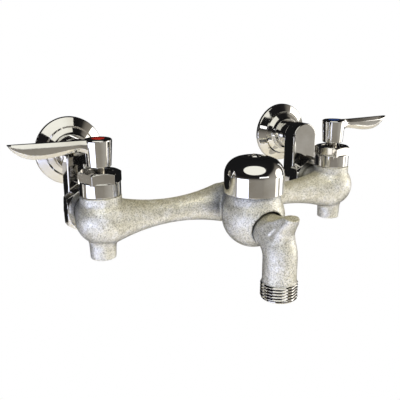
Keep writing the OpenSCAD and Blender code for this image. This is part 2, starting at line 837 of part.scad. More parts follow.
module index_button(tint) {
    crown = index_rise;
    color(tint) {
        bar(index_d, hub_top - index_seat_t, hub_top);
        translate([0, 0, hub_top]) cylinder(d1 = index_d, d2 = index_d - 2 * crown, h = crown);
    }
}

// ---------------------------------------------------------------- service stop

module stop_gland() {
    color("goldenrod") difference() {
        bar(stop_bore_d, gland_z, gland_z + gland_l);
        bar(stop_spindle_d + 2 * running_gap, gland_z - through, gland_z + gland_l + through);
        bar(stop_spindle_d + 2 * stop_seal_w, gland_z + gland_l - stop_seal_h, gland_z + gland_l + through);
    }
}

module stop_seal() {
    color("black") o_ring(stop_spindle_d + 4 * running_gap, 0.9, gland_z + gland_l - stop_seal_h / 2);
}

module stop_spindle() {
    head_z = stop_washer_z - stop_head_t;
    color("goldenrod") difference() {
        union() {
            bar(stop_spindle_d, spindle_z, head_z);
            bar(stop_washer_d - 2 * stop_head_inset, head_z, stop_washer_z - running_gap);
        }
        translate([-stop_spindle_d, -spindle_slot_w / 2, spindle_z - through])
            cube([2 * stop_spindle_d, spindle_slot_w, through + spindle_slot_h]);
    }
}

module stop_washer() {
    color("black") bar(stop_washer_d, stop_washer_z, stop_washer_z + stop_washer_t);
}

// ---------------------------------------------------------------- union and offset shank

module union_nut() {
    low = -union_nut_back_y;
    high = low + union_nut_l;
    color("silver") translate([0, -inlet_drop, 0]) difference() {
        hex_bar_turned(union_nut_af, low, high);
        bar(tail_neck_d + 2 * running_gap, low - through, high + through);
        bar(union_boss_d + 2 * assembly_gap, low + union_web, high + through);
    }
}

// Hex with a corner upwards and both ends turned
module hex_bar_turned(af, low, high) {
    rotate([0, 0, 30]) hex_bar(af, low, high, true, true);
}

module union_washer() {
    color("black") translate([0, -inlet_drop, 0])
        ring(union_boss_d - 2 * union_washer_inset, tail_bore_d, -tail_end_y + running_gap, -boss_end_y);
}

// Rounded cross-section of the offset arm's web, half of it when clipped at the axis
module arm_section(half_w) {
    square([half_w - arm_edge_r, arm_t]);
    translate([0, arm_edge_r]) square([half_w, arm_t - 2 * arm_edge_r]);
    for (z = [arm_edge_r, arm_t - arm_edge_r]) translate([half_w - arm_edge_r, z])
        circle(r = arm_edge_r, $fn = 48);
}

module offset_arm() {
    lobe_r = arm_lobe_d / 2;
    translate([0, 0, -arm_back_y]) {
        for (y = [0, -inlet_drop]) translate([0, y, 0]) rotate_extrude() arm_section(lobe_r);
        rotate([90, 0, 0]) linear_extrude(inlet_drop) {
            arm_section(lobe_r);
            mirror([1, 0]) arm_section(lobe_r);
        }
    }
}

module offset_shank() {
    middle = -arm_back_y + arm_t / 2;
    color("silver") difference() {
        union() {
            offset_arm();
            bar(supply_d, -supply_end_y, -arm_back_y + arm_edge_r);
            translate([0, -inlet_drop, 0]) {
                bar(tail_neck_d, -arm_front_y - arm_edge_r, -tail_collar_y);
                bar(tail_collar_d, -tail_collar_y, -tail_end_y);
            }
        }
        bar(pipe_thread_d, -supply_end_y - through, -supply_end_y + pipe_thread_l);
        bar(tail_bore_d, 0, middle);
        translate([0, -inlet_drop, 0]) bar(tail_bore_d, middle, -tail_end_y + through);
        translate([0, 0, middle]) rotate([90, 0, 0]) {
            cylinder(d = arm_t - 2 * arm_wall, h = inlet_drop);
        }
    }
}

// Section of a wall flange: rounded rim, shallow cone and a hub with a fillet at its foot
module flange_section(r, rim_r, hub_r, hub_fillet, dish_h, hub_h) {
    intersection() {
        translate([r - rim_r, 0]) circle(r = rim_r);
        square(r);
    }
    polygon([[0, 0], [r - rim_r, 0], [r - rim_r, rim_r], [hub_r + hub_fillet, dish_h], [0, dish_h]]);
    square([hub_r, hub_h]);
    difference() {
        square([hub_r + hub_fillet, dish_h + hub_fillet]);
        translate([hub_r + hub_fillet, dish_h + hub_fillet]) circle(r = hub_fillet);
    }
}

module wall_flange() {
    r = flange_d / 2;
    tube_r = supply_d / 2 + assembly_gap;
    color("silver") difference() {
        rotate_extrude() difference() {
            flange_section(r, flange_rim_r, tube_r + flange_hub_wall, flange_hub_fillet,
                flange_dish_h, flange_h);
            // Hollow behind the flange
            polygon([[0, -through], [r - flange_wall, -through], [r - flange_wall, 0],
                [r - flange_rim_r, flange_rim_r - flange_wall],
                [tube_r + flange_hub_wall, flange_dish_h - flange_wall],
                [0, flange_dish_h - flange_wall]]);
        }
        bar(2 * tube_r, -through, flange_h + through);
    }
}

// ---------------------------------------------------------------- left side

module left_bonnet_nut() { left_valve() rotate([0, 0, left_nut_turn]) bonnet_nut(); }
module left_cartridge_housing() { left_valve() cartridge_housing(); }
module left_housing_seal() { left_valve() housing_seal(); }
module left_seat_washer() { left_valve() seat_washer(); }
module left_fixed_disc() { left_valve() fixed_disc(); }
module left_turning_disc() { left_valve() turning_disc(); }
module left_stem() { left_valve() stem(); }
module left_stem_seals() { left_valve() stem_seals(); }
module left_lever() { left_valve() lever(); }
module left_lever_screw() { left_valve() lever_screw(); }
module left_index_button() { left_valve() index_button("red"); }
module left_stop_gland() { left_valve() stop_gland(); }
module left_stop_seal() { left_valve() stop_seal(); }
module left_stop_spindle() { left_valve() stop_spindle(); }
module left_stop_washer() { left_valve() stop_washer(); }
module left_union_nut() { left_inlet() union_nut(); }
module left_union_washer() { left_inlet() union_washer(); }
module left_offset_shank() { left_inlet() offset_shank(); }
module left_wall_flange() { left_inlet() wall_flange(); }

// ---------------------------------------------------------------- right side

module right_bonnet_nut() { right_valve() rotate([0, 0, right_nut_turn]) bonnet_nut(); }
module right_cartridge_housing() { right_valve() cartridge_housing(); }
module right_housing_seal() { right_valve() housing_seal(); }
module right_seat_washer() { right_valve() seat_washer(); }
module right_fixed_disc() { right_valve() fixed_disc(); }
module right_turning_disc() { right_valve() turning_disc(); }
module right_stem() { right_valve() stem(); }
module right_stem_seals() { right_valve() stem_seals(); }
module right_lever() { right_valve() lever(); }
module right_lever_screw() { right_valve() lever_screw(); }
module right_index_button() { right_valve() index_button("royalblue"); }
module right_stop_gland() { right_valve() stop_gland(); }
module right_stop_seal() { right_valve() stop_seal(); }
module right_stop_spindle() { right_valve() stop_spindle(); }
module right_stop_washer() { right_valve() stop_washer(); }
module right_union_nut() { right_inlet() union_nut(); }
module right_union_washer() { right_inlet() union_washer(); }
module right_offset_shank() { right_inlet() offset_shank(); }
module right_wall_flange() { right_inlet() wall_flange(); }

yoke_body();
spout();
spout_washer();
breaker_float();
breaker_float_washer();
vent_bonnet();
vent_bonnet_gasket();
dome_cap();
cap_screw();
left_bonnet_nut();
left_cartridge_housing();
left_housing_seal();
left_seat_washer();
left_fixed_disc();
left_turning_disc();
left_stem();
left_stem_seals();
left_lever();
left_lever_screw();
left_index_button();
left_stop_gland();
left_stop_seal();
left_stop_spindle();
left_stop_washer();
left_union_nut();
left_union_washer();
left_offset_shank();
left_wall_flange();
right_bonnet_nut();
right_cartridge_housing();
right_housing_seal();
right_seat_washer();
right_fixed_disc();
right_turning_disc();
right_stem();
right_stem_seals();
right_lever();
right_lever_screw();
right_index_button();
right_stop_gland();
right_stop_seal();
right_stop_spindle();
right_stop_washer();
right_union_nut();
right_union_washer();
right_offset_shank();
right_wall_flange();
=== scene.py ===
"""Visual model of a wall-mounted yoke service faucet with a vacuum breaker and a pail-hook spout.

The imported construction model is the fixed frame. Castings are softened copies of their solids,
and the polished pieces are turned, extruded and bevelled here in the same place. The inner
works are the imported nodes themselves. Sizes are in millimetres where nothing else is said.
"""

import logging
import math
from collections.abc import Callable, Sequence
from dataclasses import dataclass, field
from enum import Enum

import bpy
from mathutils import Matrix, Vector


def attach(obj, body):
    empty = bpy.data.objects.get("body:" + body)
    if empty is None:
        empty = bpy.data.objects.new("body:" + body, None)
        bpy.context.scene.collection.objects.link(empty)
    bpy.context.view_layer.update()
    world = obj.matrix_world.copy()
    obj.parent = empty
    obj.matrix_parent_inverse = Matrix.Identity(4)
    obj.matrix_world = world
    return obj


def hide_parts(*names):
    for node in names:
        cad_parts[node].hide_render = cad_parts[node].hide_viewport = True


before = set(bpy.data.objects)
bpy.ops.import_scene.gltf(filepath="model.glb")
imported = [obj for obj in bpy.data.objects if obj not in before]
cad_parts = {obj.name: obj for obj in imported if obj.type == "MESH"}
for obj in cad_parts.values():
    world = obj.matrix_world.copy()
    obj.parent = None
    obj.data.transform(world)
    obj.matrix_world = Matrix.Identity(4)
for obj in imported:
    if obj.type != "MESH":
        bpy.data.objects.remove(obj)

MM = 0.001
LOG = logging.getLogger("faucet")


# ---------------------------------------------------------------- colours and nodes


def linear(hex_colour: str) -> tuple[float, float, float, float]:
    """Turn an sRGB hex colour into the linear colour that a shader takes.

    Args:
        hex_colour: Six hex digits, such as "C8C4B8".

    Returns:
        Linear red, green and blue, with an alpha of 1.
    """
    parts = [int(hex_colour[i : i + 2], 16) / 255 for i in (0, 2, 4)]
    red, green, blue = (p / 12.92 if p <= 0.04045 else ((p + 0.055) / 1.055) ** 2.4 for p in parts)
    return red, green, blue, 1.0


def add_node(
    tree: bpy.types.NodeTree,
    kind: str,
    settings: dict[str, object] | None = None,
    sockets: dict[str | int, object] | None = None,
    stops: Sequence[tuple[float, str]] = (),
) -> bpy.types.Node:
    """Add one node with its settings, its values and its links.

    Args:
        tree: Node tree that takes the node.
        kind: Blender's name of the node type.
        settings: Values of the node's own properties.
        sockets: Values of its inputs by name or number, where an output socket becomes a link.
        stops: Position and hex colour of each stop of a colour ramp, in rising order.

    Returns:
        The new node.
    """
    node = tree.nodes.new(kind)
    for name, value in (settings or {}).items():
        setattr(node, name, value)
    for name, value in (sockets or {}).items():
        if isinstance(value, bpy.types.NodeSocket):
            tree.links.new(value, node.inputs[name])
        else:
            node.inputs[name].default_value = value
    if stops:
        elements = node.color_ramp.elements
        while len(elements) < len(stops):
            elements.new(0.5)
        for element, (position, colour) in zip(elements, stops):
            element.position = position
            element.color = linear(colour)
    return node


# ---------------------------------------------------------------- finishes


class Slot(Enum):
    """Material slots of the record, by the finish they stand for."""

    CAST_CHROME = "cast_chrome"
    POLISHED_CHROME = "polished_chrome"
    BRASS = "brass"
    CERAMIC = "ceramic"
    RUBBER = "rubber"
    FLOAT_PLASTIC = "float_plastic"
    HOT_INDEX = "hot_index"
    COLD_INDEX = "cold_index"
    STAINLESS = "stainless"


def new_material(name: str) -> tuple[bpy.types.Material, bpy.types.Node]:
    """Start a material that holds one principled shader.

    Args:
        name: Name of the finish.

    Returns:
        The material and its shader node.
    """
    material = bpy.data.materials.new(name)
    material.use_nodes = True
    return material, material.node_tree.nodes["Principled BSDF"]


@dataclass(frozen=True)
class RoughCastChrome:
    """Chrome plate on as-cast brass: pearly, with a fine sandy grain from the mould."""

    light: str = "F6F7FB"
    middle: str = "E6E5E0"
    shade: str = "CFCDC2"
    pit: str = "3C3C3A"
    # Painted shade: the colour that inner corners and recesses are darkened towards
    corner: str = "4C4F4B"
    # Painted shade: the dark edge tint that darkens the outlines
    edge: str = "2E2E30"
    roughness: float = 0.40
    metallic: float = 0.86
    grain_mm: float = 0.85
    pit_mm: float = 1.955
    pit_share: float = 0.72
    blotch_mm: float = 8.0
    # Reach and strength of the painted shade in inner corners
    shade_reach_mm: float = 16.0
    shade_share: float = 0.9
    relief_mm: float = 0.3

    def build(self) -> bpy.types.Material:
        """Build the finish.

        Returns:
            The finish as a material.
        """
        material, shader = new_material("rough_cast_chrome")
        tree = material.node_tree
        place = add_node(tree, "ShaderNodeTexCoord").outputs["Object"]
        # Moulding sand is 0.2 to 0.4 mm; it is drawn two to three times as coarse, so that it shows
        sand = add_node(tree, "ShaderNodeTexNoise", sockets={
            "Vector": place, "Scale": 1 / (self.grain_mm * MM), "Detail": 6.0, "Roughness": 0.7})
        pits = add_node(tree, "ShaderNodeTexVoronoi", sockets={
            "Vector": place, "Scale": 1 / (self.pit_mm * MM)})
        blotch = add_node(tree, "ShaderNodeTexNoise", sockets={
            "Vector": place, "Scale": 1 / (self.blotch_mm * MM), "Detail": 10.0, "Roughness": 0.75})
        # Plate is thicker in some places than in others, which clouds it in patches of 8 mm
        tone = add_node(tree, "ShaderNodeValToRGB", sockets={"Fac": blotch.outputs["Fac"]}, stops=[
            (0.3, self.shade), (0.5, self.middle), (0.66, self.light)])
        # Dark grit stays in the deepest pits
        speck = add_node(tree, "ShaderNodeValToRGB", sockets={"Fac": sand.outputs["Fac"]}, stops=[
            (0.38, self.pit), (0.52, "FFFFFF")])
        mixed = add_node(tree, "ShaderNodeMix", {"data_type": "RGBA", "blend_type": "MULTIPLY"}, {
            "Factor": self.pit_share, "A": tone.outputs["Color"], "B": speck.outputs["Color"]})
        # Painted shade: the colour goes dark in inner corners and recesses, wherever ambient
        # occlusion finds nearby surfaces
        corner_occlusion = add_node(tree, "ShaderNodeAmbientOcclusion", {"samples": 8}, {
            "Distance": self.shade_reach_mm * MM})
        painted_shade = add_node(tree, "ShaderNodeValToRGB", sockets={"Fac": corner_occlusion.outputs["AO"]}, stops=[
            (0.4, self.corner), (0.9, "FFFFFF")])
        skin = add_node(tree, "ShaderNodeMix", {"data_type": "RGBA", "blend_type": "MULTIPLY"}, {
            "Factor": self.shade_share, "A": mixed.outputs["Result"],
            "B": painted_shade.outputs["Color"]})
        tree.links.new(skin.outputs["Result"], shader.inputs["Base Color"])
        rough = add_node(tree, "ShaderNodeMapRange", sockets={
            "Value": blotch.outputs["Fac"], "From Min": 0.3, "From Max": 0.7,
            "To Min": self.roughness - 0.06, "To Max": self.roughness + 0.06})
        tree.links.new(rough.outputs["Result"], shader.inputs["Roughness"])
        height = add_node(tree, "ShaderNodeMath", {"operation": "MULTIPLY_ADD"}, {
            0: pits.outputs["Distance"], 1: 0.35, 2: sand.outputs["Fac"]})
        bump = add_node(tree, "ShaderNodeBump", sockets={
            "Strength": 0.7, "Distance": self.relief_mm * MM, "Height": height.outputs["Value"]})
        tree.links.new(bump.outputs["Normal"], shader.inputs["Normal"])
        shader.inputs["Metallic"].default_value = self.metallic
        # Painted shade: a dark edge tint darkens the surface where it is seen edge on, so the
        # outlines go dark
        shader.inputs["Specular Tint"].default_value = linear(self.edge)
        return material


@dataclass(frozen=True)
class PolishedMetal:
    """Polished metal: a mirror with faint polishing waves and a few hairline wipe marks."""

    name: str
    colour: str
    worn: str
    roughness: float
    wave_mm: float = 9.0
    wave: float = 0.05
    hairline_mm: float = 0.35
    hairline_run: float = 0.06
    film_mm: float = 22.0

    def build(self) -> bpy.types.Material:
        """Build the finish.

        Returns:
            The finish as a material.
        """
        material, shader = new_material(self.name)
        tree = material.node_tree
        place = add_node(tree, "ShaderNodeTexCoord").outputs["Object"]
        waves = add_node(tree, "ShaderNodeTexNoise", sockets={
            "Vector": place, "Scale": 1 / (self.wave_mm * MM), "Detail": 2.0})
        # Wipe marks are finer than 0.1 mm; they are drawn 0.35 mm wide and run up and down
        stretched = add_node(tree, "ShaderNodeMapping", sockets={
            "Vector": place, "Scale": (1.0, 1.0, self.hairline_run)})
        hairs = add_node(tree, "ShaderNodeTexNoise", sockets={
            "Vector": stretched.outputs["Vector"], "Scale": 1 / (self.hairline_mm * MM),
            "Detail": 2.0})
        # Water leaves a thin film in patches as wide as a fingertip
        film = add_node(tree, "ShaderNodeTexNoise", sockets={
            "Vector": place, "Scale": 1 / (self.film_mm * MM), "Detail": 4.0})
        tone = add_node(tree, "ShaderNodeValToRGB", sockets={"Fac": film.outputs["Fac"]}, stops=[
            (0.35, self.worn), (0.6, self.colour)])
        tree.links.new(tone.outputs["Color"], shader.inputs["Base Color"])
        rough = add_node(tree, "ShaderNodeMapRange", sockets={
            "Value": hairs.outputs["Fac"], "From Min": 0.45, "From Max": 0.75,
            "To Min": self.roughness, "To Max": self.roughness + 0.05})
        tree.links.new(rough.outputs["Result"], shader.inputs["Roughness"])
        bump = add_node(tree, "ShaderNodeBump", sockets={
            "Strength": self.wave, "Distance": 0.4 * MM, "Height": waves.outputs["Fac"]})
        tree.links.new(bump.outputs["Normal"], shader.inputs["Normal"])
        shader.inputs["Metallic"].default_value = 1.0
        return material


@dataclass(frozen=True)
class TurnedMetal:
    """Machined metal as it comes off the lathe, with fine tool marks round the axis."""

    name: str
    colour: str
    tarnish: str
    roughness: float = 0.28
    feed_mm: float = 0.6
    stain_mm: float = 5.0

    def build(self) -> bpy.types.Material:
        """Build the finish.

        Returns:
            The finish as a material.
        """
        material, shader = new_material(self.name)
        tree = material.node_tree
        place = add_node(tree, "ShaderNodeTexCoord").outputs["Object"]
        # The feed of the tool leaves marks every 0.1 to 0.2 mm, drawn every 0.6 mm so that they
        # show; at scale 1 the bands of a wave texture lie pi / 10 apart
        marks = add_node(tree, "ShaderNodeTexWave", {"bands_direction": "Z"}, {
            "Vector": place, "Scale": math.pi / 10 / (self.feed_mm * MM), "Distortion": 0.4})
        stain = add_node(tree, "ShaderNodeTexNoise", sockets={
            "Vector": place, "Scale": 1 / (self.stain_mm * MM), "Detail": 5.0})
        tone = add_node(tree, "ShaderNodeValToRGB", sockets={"Fac": stain.outputs["Fac"]}, stops=[
            (0.35, self.tarnish), (0.62, self.colour)])
        tree.links.new(tone.outputs["Color"], shader.inputs["Base Color"])
        rough = add_node(tree, "ShaderNodeMapRange", sockets={
            "Value": stain.outputs["Fac"], "To Min": self.roughness + 0.12,
            "To Max": self.roughness - 0.08})
        tree.links.new(rough.outputs["Result"], shader.inputs["Roughness"])
        bump = add_node(tree, "ShaderNodeBump", sockets={
            "Strength": 0.25, "Distance": 0.05 * MM, "Height": marks.outputs["Fac"]})
        tree.links.new(bump.outputs["Normal"], shader.inputs["Normal"])
        shader.inputs["Metallic"].default_value = 1.0
        return material


@dataclass(frozen=True)
class MouldedSolid:
    """Moulded rubber, plastic or ceramic with a faint mould texture."""

    name: str
    colour: str
    shade: str
    roughness: float
    ior: float
    grain_mm: float = 0.8
    cloud_mm: float = 6.0

    def build(self) -> bpy.types.Material:
        """Build the finish.

        Returns:
            The finish as a material.
        """
        material, shader = new_material(self.name)
        tree = material.node_tree
        place = add_node(tree, "ShaderNodeTexCoord").outputs["Object"]
        # A spark-eroded mould leaves a grain of about 0.2 mm, drawn four times as coarse
        grain = add_node(tree, "ShaderNodeTexNoise", sockets={
            "Vector": place, "Scale": 1 / (self.grain_mm * MM), "Detail": 3.0})
        cloud = add_node(tree, "ShaderNodeTexNoise", sockets={
            "Vector": place, "Scale": 1 / (self.cloud_mm * MM), "Detail": 3.0})
        tone = add_node(tree, "ShaderNodeValToRGB", sockets={"Fac": cloud.outputs["Fac"]}, stops=[
            (0.3, self.shade), (0.65, self.colour)])
        tree.links.new(tone.outputs["Color"], shader.inputs["Base Color"])
        rough = add_node(tree, "ShaderNodeMapRange", sockets={
            "Value": grain.outputs["Fac"], "To Min": self.roughness - 0.05,
            "To Max": self.roughness + 0.05})
        tree.links.new(rough.outputs["Result"], shader.inputs["Roughness"])
        bump = add_node(tree, "ShaderNodeBump", sockets={
            "Strength": 0.15, "Distance": 0.05 * MM, "Height": grain.outputs["Fac"]})
        tree.links.new(bump.outputs["Normal"], shader.inputs["Normal"])
        shader.inputs["IOR"].default_value = self.ior
        return material


@dataclass
class FinishBook:
    """One material for each slot, built once and shared by the pieces.

    Brass that shows from outside has a thin nickel plate, which is a finish of its own.
    """

    materials: dict[Slot, bpy.types.Material] = field(default_factory=dict)
    plate: bpy.types.Material | None = None

    def __post_init__(self) -> None:
        """Build every finish."""
        finishes = {
            Slot.CAST_CHROME: RoughCastChrome(),
            # Bright chrome mirrors the room sharply and has next to no colour of its own
            Slot.POLISHED_CHROME: PolishedMetal("polished_chrome_plate", "E3E2E0", "D2CFCA", 0.04),
            # Machined brass is yellow and silky, and goes brown in patches
            Slot.BRASS: TurnedMetal("turned_brass", "D9B470", "A07C42"),
            # Screw steel is grey and a little sharper than brass
            Slot.STAINLESS: TurnedMetal("stainless_screw_steel", "C9C7C2", "A5A29B", 0.22),
            # Lapped ceramic is dense, white and smooth
            Slot.CERAMIC: MouldedSolid("lapped_alumina", "EFEDE8", "E2DFD8", 0.18, 1.77),
            # Seal rubber is near black and dull
            Slot.RUBBER: MouldedSolid("nitrile_rubber", "1D1D1E", "141415", 0.62, 1.52),
            # Acetal is a waxy white
            Slot.FLOAT_PLASTIC: MouldedSolid("acetal_float", "EDEBE6", "E0DDD6", 0.35, 1.48),
            # Index acrylic is clear and glossy over a deep dye
            Slot.HOT_INDEX: MouldedSolid("red_index_acrylic", "6A1712", "4A0F0C", 0.16, 1.49),
            Slot.COLD_INDEX: MouldedSolid("blue_index_acrylic", "1A2B5C", "121E42", 0.16, 1.49),
        }
        self.materials = {slot: finish.build() for slot, finish in finishes.items()}
        # Thin nickel on machined brass is warmer and softer than chrome
        self.plate = PolishedMetal("nickel_plate_on_brass", "BDB8AE", "8E887C", 0.12).build()

    def dress(self, piece: bpy.types.Object, slot: Slot, plated: bool = False) -> None:
        """Give a piece the finish of a slot.

        Args:
            piece: The piece or CAD node.
            slot: The record's slot.
            plated: Gives it the nickel plate that brass has where it shows.
        """
        piece.data.materials.clear()
        piece.data.materials.append(self.plate if plated else self.materials[slot])


# ---------------------------------------------------------------- bench work


class Cut(Enum):
    """Ways to put two solids together, by Blender's name."""

    UNION = "UNION"
    DIFFERENCE = "DIFFERENCE"
    INTERSECT = "INTERSECT"


def pick(piece: bpy.types.Object) -> None:
    """Leave object mode's selection on one piece alone.

    Args:
        piece: The piece that the next operators work on.
    """
    if bpy.context.mode != "OBJECT":
        bpy.ops.object.mode_set(mode="OBJECT")
    bpy.ops.object.select_all(action="DESELECT")
    piece.select_set(True)
    bpy.context.view_layer.objects.active = piece


def apply_modifier(piece: bpy.types.Object, kind: str, **settings: object) -> None:
    """Add a modifier to a piece and apply it.

    Args:
        piece: The piece.
        kind: Blender's name of the modifier type.
        settings: Values of the modifier's properties.
    """
    pick(piece)
    modifier = piece.modifiers.new(kind.lower(), kind)
    for name, value in settings.items():
        setattr(modifier, name, value)
    bpy.ops.object.modifier_apply(modifier=modifier.name)


def combine(piece: bpy.types.Object, other: bpy.types.Object, how: Cut) -> None:
    """Join, cut or clip a piece with another solid, which is used up.

    Args:
        piece: The piece that stays.
        other: The solid that it is combined with.
        how: Whether the other solid is added, cut away or all that stays.
    """
    apply_modifier(piece, "BOOLEAN", operation=how.value, solver="EXACT", object=other)
    bpy.data.objects.remove(other, do_unlink=True)


def settle(piece: bpy.types.Object, place: Matrix) -> None:
    """Move a piece to its place and leave its object at the origin.

    Args:
        piece: The piece.
        place: Where it goes, in metres.
    """
    pick(piece)
    piece.matrix_world = place @ piece.matrix_world
    bpy.ops.object.transform_apply(location=True, rotation=True, scale=True)


def close_up(piece: bpy.types.Object) -> None:
    """Merge a piece's doubles and turn its faces outwards.

    Args:
        piece: The piece.
    """
    pick(piece)
    bpy.ops.object.mode_set(mode="EDIT")
    bpy.ops.mesh.select_all(action="SELECT")
    bpy.ops.mesh.remove_doubles(threshold=1e-6)
    bpy.ops.mesh.normals_make_consistent(inside=False)
    bpy.ops.object.mode_set(mode="OBJECT")


def polish(piece: bpy.types.Object, break_mm: float = 0.0, angle: float = 24.0) -> None:
    """Break a piece's sharp edges and let its flats shade flat between them.

    Args:
        piece: The piece.
        break_mm: Width of the broken edges, or 0 for none.
        angle: Edges sharper than this many degrees are broken, or stay sharp.
    """
    if break_mm:
        apply_modifier(piece, "BEVEL", width=break_mm * MM, segments=3, limit_method="ANGLE",
                       angle_limit=math.radians(angle), use_clamp_overlap=False,
                       miter_outer="MITER_ARC")
    pick(piece)
    bpy.ops.object.shade_smooth_by_angle(angle=math.radians(40 if break_mm else angle))
    apply_modifier(piece, "WEIGHTED_NORMAL", mode="FACE_AREA", keep_sharp=True, weight=60)


Corner = tuple[float, float] | tuple[float, float, float]


def rounded(corners: Sequence[Corner], steps: int = 4) -> list[tuple[float, float]]:
    """Round the corners of an outline.

    Args:
        corners: Radius, height and, where the corner is round, its rounding radius.
        steps: Points that a round corner gets for each quarter turn.

    Returns:
        Radius and height of each point.
    """
    points: list[tuple[float, float]] = []
    for i, corner in enumerate(corners):
        here = Vector(corner[:2])
        radius = corner[2] if len(corner) > 2 else 0.0
        if not radius:
            points.append((here.x, here.y))
            continue
        before = (Vector(corners[i - 1][:2]) - here).normalized()
        after = (Vector(corners[(i + 1) % len(corners)][:2]) - here).normalized()
        half = before.angle(after) / 2
        centre = here + (before + after).normalized() * radius / math.sin(half)
        start = here + before * radius / math.tan(half) - centre
        turn = start.angle_signed(here + after * radius / math.tan(half) - centre)
        count = max(2, round(steps * abs(turn) / (math.pi / 2)))
        for k in range(count + 1):
            arm = start.copy()
            arm.rotate(Matrix.Rotation(-turn * k / count, 2))
            points.append((centre.x + arm.x, centre.y + arm.y))
    return points


def turned(
    name: str, outline: Sequence[tuple[float, float]], segments: int = 96
) -> bpy.types.Object:
    """Turn a piece on the lathe, around Z.

    Args:
        name: Name of the piece.
        outline: Radius and height of its rings in millimetres, in order. One that starts and
            ends on the axis is a solid, and any other is closed into a hollow ring.
        segments: Facets round the axis.

    Returns:
        The piece.
    """
    solid = outline[0][0] < 1e-6
    rings = list(outline[1:-1]) if solid else [*outline, outline[0]]
    radius, height = rings[0]
    bpy.ops.object.select_all(action="DESELECT")
    bpy.ops.mesh.primitive_circle_add(
        vertices=segments, radius=radius * MM, fill_type="NGON" if solid else "NOTHING",
        location=(0, 0, height * MM))
    piece = bpy.context.object
    piece.name = piece.data.name = name
    bpy.ops.object.mode_set(mode="EDIT")
    bpy.ops.mesh.select_mode(type="FACE" if solid else "EDGE")
    bpy.ops.mesh.select_all(action="SELECT")
    for wide, high in rings[1:]:
        bpy.ops.mesh.extrude_region_move(
            TRANSFORM_OT_translate={"value": (0, 0, (high - height) * MM)})
        bpy.ops.transform.resize(
            value=(wide / radius, wide / radius, 1), center_override=(0, 0, high * MM))
        radius, height = wide, high
    bpy.ops.object.mode_set(mode="OBJECT")
    bpy.ops.object.transform_apply(location=True, rotation=True, scale=True)
    close_up(piece)
    return piece


def drill(diameter: float, low: float, high: float, name: str = "drill") -> bpy.types.Object:
    """Turn a round bar along Z, to cut a bore with or to add as a shaft.

    Args:
        diameter: Its diameter in millimetres.
        low: Height of one end.
        high: Height of the other end.
        name: Name of the bar.

    Returns:
        The bar.
    """
    return turned(name, [(0, low), (diameter / 2, low), (diameter / 2, high), (0, high)])


def hex_block(
    name: str, across: float, low: float, high: float, turn: float, both_ends: bool
) -> bpy.types.Object:
    """Mill a hexagon along Z with its corners turned down, as on a nut.

    Args:
        name: Name of the piece.
        across: Width across its flats in millimetres.
        low: Height of its lower end.
        high: Height of its upper end.
        turn: Angle in degrees from +X to a corner.
        both_ends: Turns the corners down at the lower end too.

    Returns:
        The piece.
    """
    corner = across / math.sqrt(3)
    slope, flat_inset, lean = corner - across / 2, 0.2, 0.55
    bpy.ops.object.select_all(action="DESELECT")
    bpy.ops.mesh.primitive_cylinder_add(
        vertices=6, radius=corner * MM, depth=(high - low) * MM,
        location=(0, 0, (low + high) / 2 * MM), rotation=(0, 0, math.radians(turn + 30)))
    piece = bpy.context.object
    piece.name = piece.data.name = name
    bpy.ops.object.transform_apply(location=True, rotation=True, scale=True)
    wide, narrow = corner + slope, across / 2 - flat_inset
    ease = lean * (wide - narrow)
    outline = [(0, low - 1), (wide, low - 1), (wide, high - ease), (narrow, high), (0, high)]
    if both_ends:
        outline[:2] = [(0, low), (narrow, low), (wide, low + ease)]
    combine(piece, turned("hex_envelope", outline), Cut.INTERSECT)
    return piece


def soften_casting(
    source: bpy.types.Object, name: str, voxel_mm: float, passes: int,
    spared: Callable[[Vector], bool], most_triangles: int,
    rework: Callable[[bpy.types.Object], None] | None = None,
) -> bpy.types.Object:
    """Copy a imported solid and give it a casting's soft inner corners.

    Args:
        source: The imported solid, which stays as it is.
        name: Name of the copy.
        voxel_mm: Size of the grid that the copy is remade on.
        passes: Rounds of smoothing.
        spared: Tells by its place in millimetres whether a point is machined and stays crisp.
        most_triangles: Triangles that the copy may have.
        rework: Changes the copy before its corners are softened.

    Returns:
        The copy.
    """
    pick(source)
    bpy.ops.object.duplicate()
    piece = bpy.context.object
    piece.name = piece.data.name = name
    # The marks that the frame puts on a node stay with the node
    for key in [k for k in piece.keys() if k.startswith("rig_")]:
        del piece[key]
    piece.hide_render = False
    close_up(piece)
    if rework:
        rework(piece)
    apply_modifier(piece, "REMESH", mode="VOXEL", voxel_size=voxel_mm * MM, adaptivity=0.0)
    apply_modifier(piece, "SMOOTH", factor=0.5, iterations=2)
    skin = [v.index for v in piece.data.vertices if not spared(v.co / MM)]
    piece.vertex_groups.new(name="cast_skin").add(skin, 1.0, "REPLACE")
    apply_modifier(piece, "SMOOTH", factor=0.5, iterations=passes, vertex_group="cast_skin")
    piece.vertex_groups.clear()
    triangles = sum(len(face.vertices) - 2 for face in piece.data.polygons)
    if triangles > most_triangles:
        apply_modifier(piece, "DECIMATE", ratio=most_triangles / triangles)
    pick(piece)
    bpy.ops.object.shade_smooth()
    return piece


def report(piece: bpy.types.Object) -> None:
    """Log a piece by name, with its number of faces."""
    LOG.info("%s: %d faces", piece.name, len(piece.data.polygons))


# ---------------------------------------------------------------- studio and camera


class LampShape(Enum):
    """Outlines of a lamp's front, by Blender's name."""

    OBLONG = "RECTANGLE"
    OVAL = "ELLIPSE"


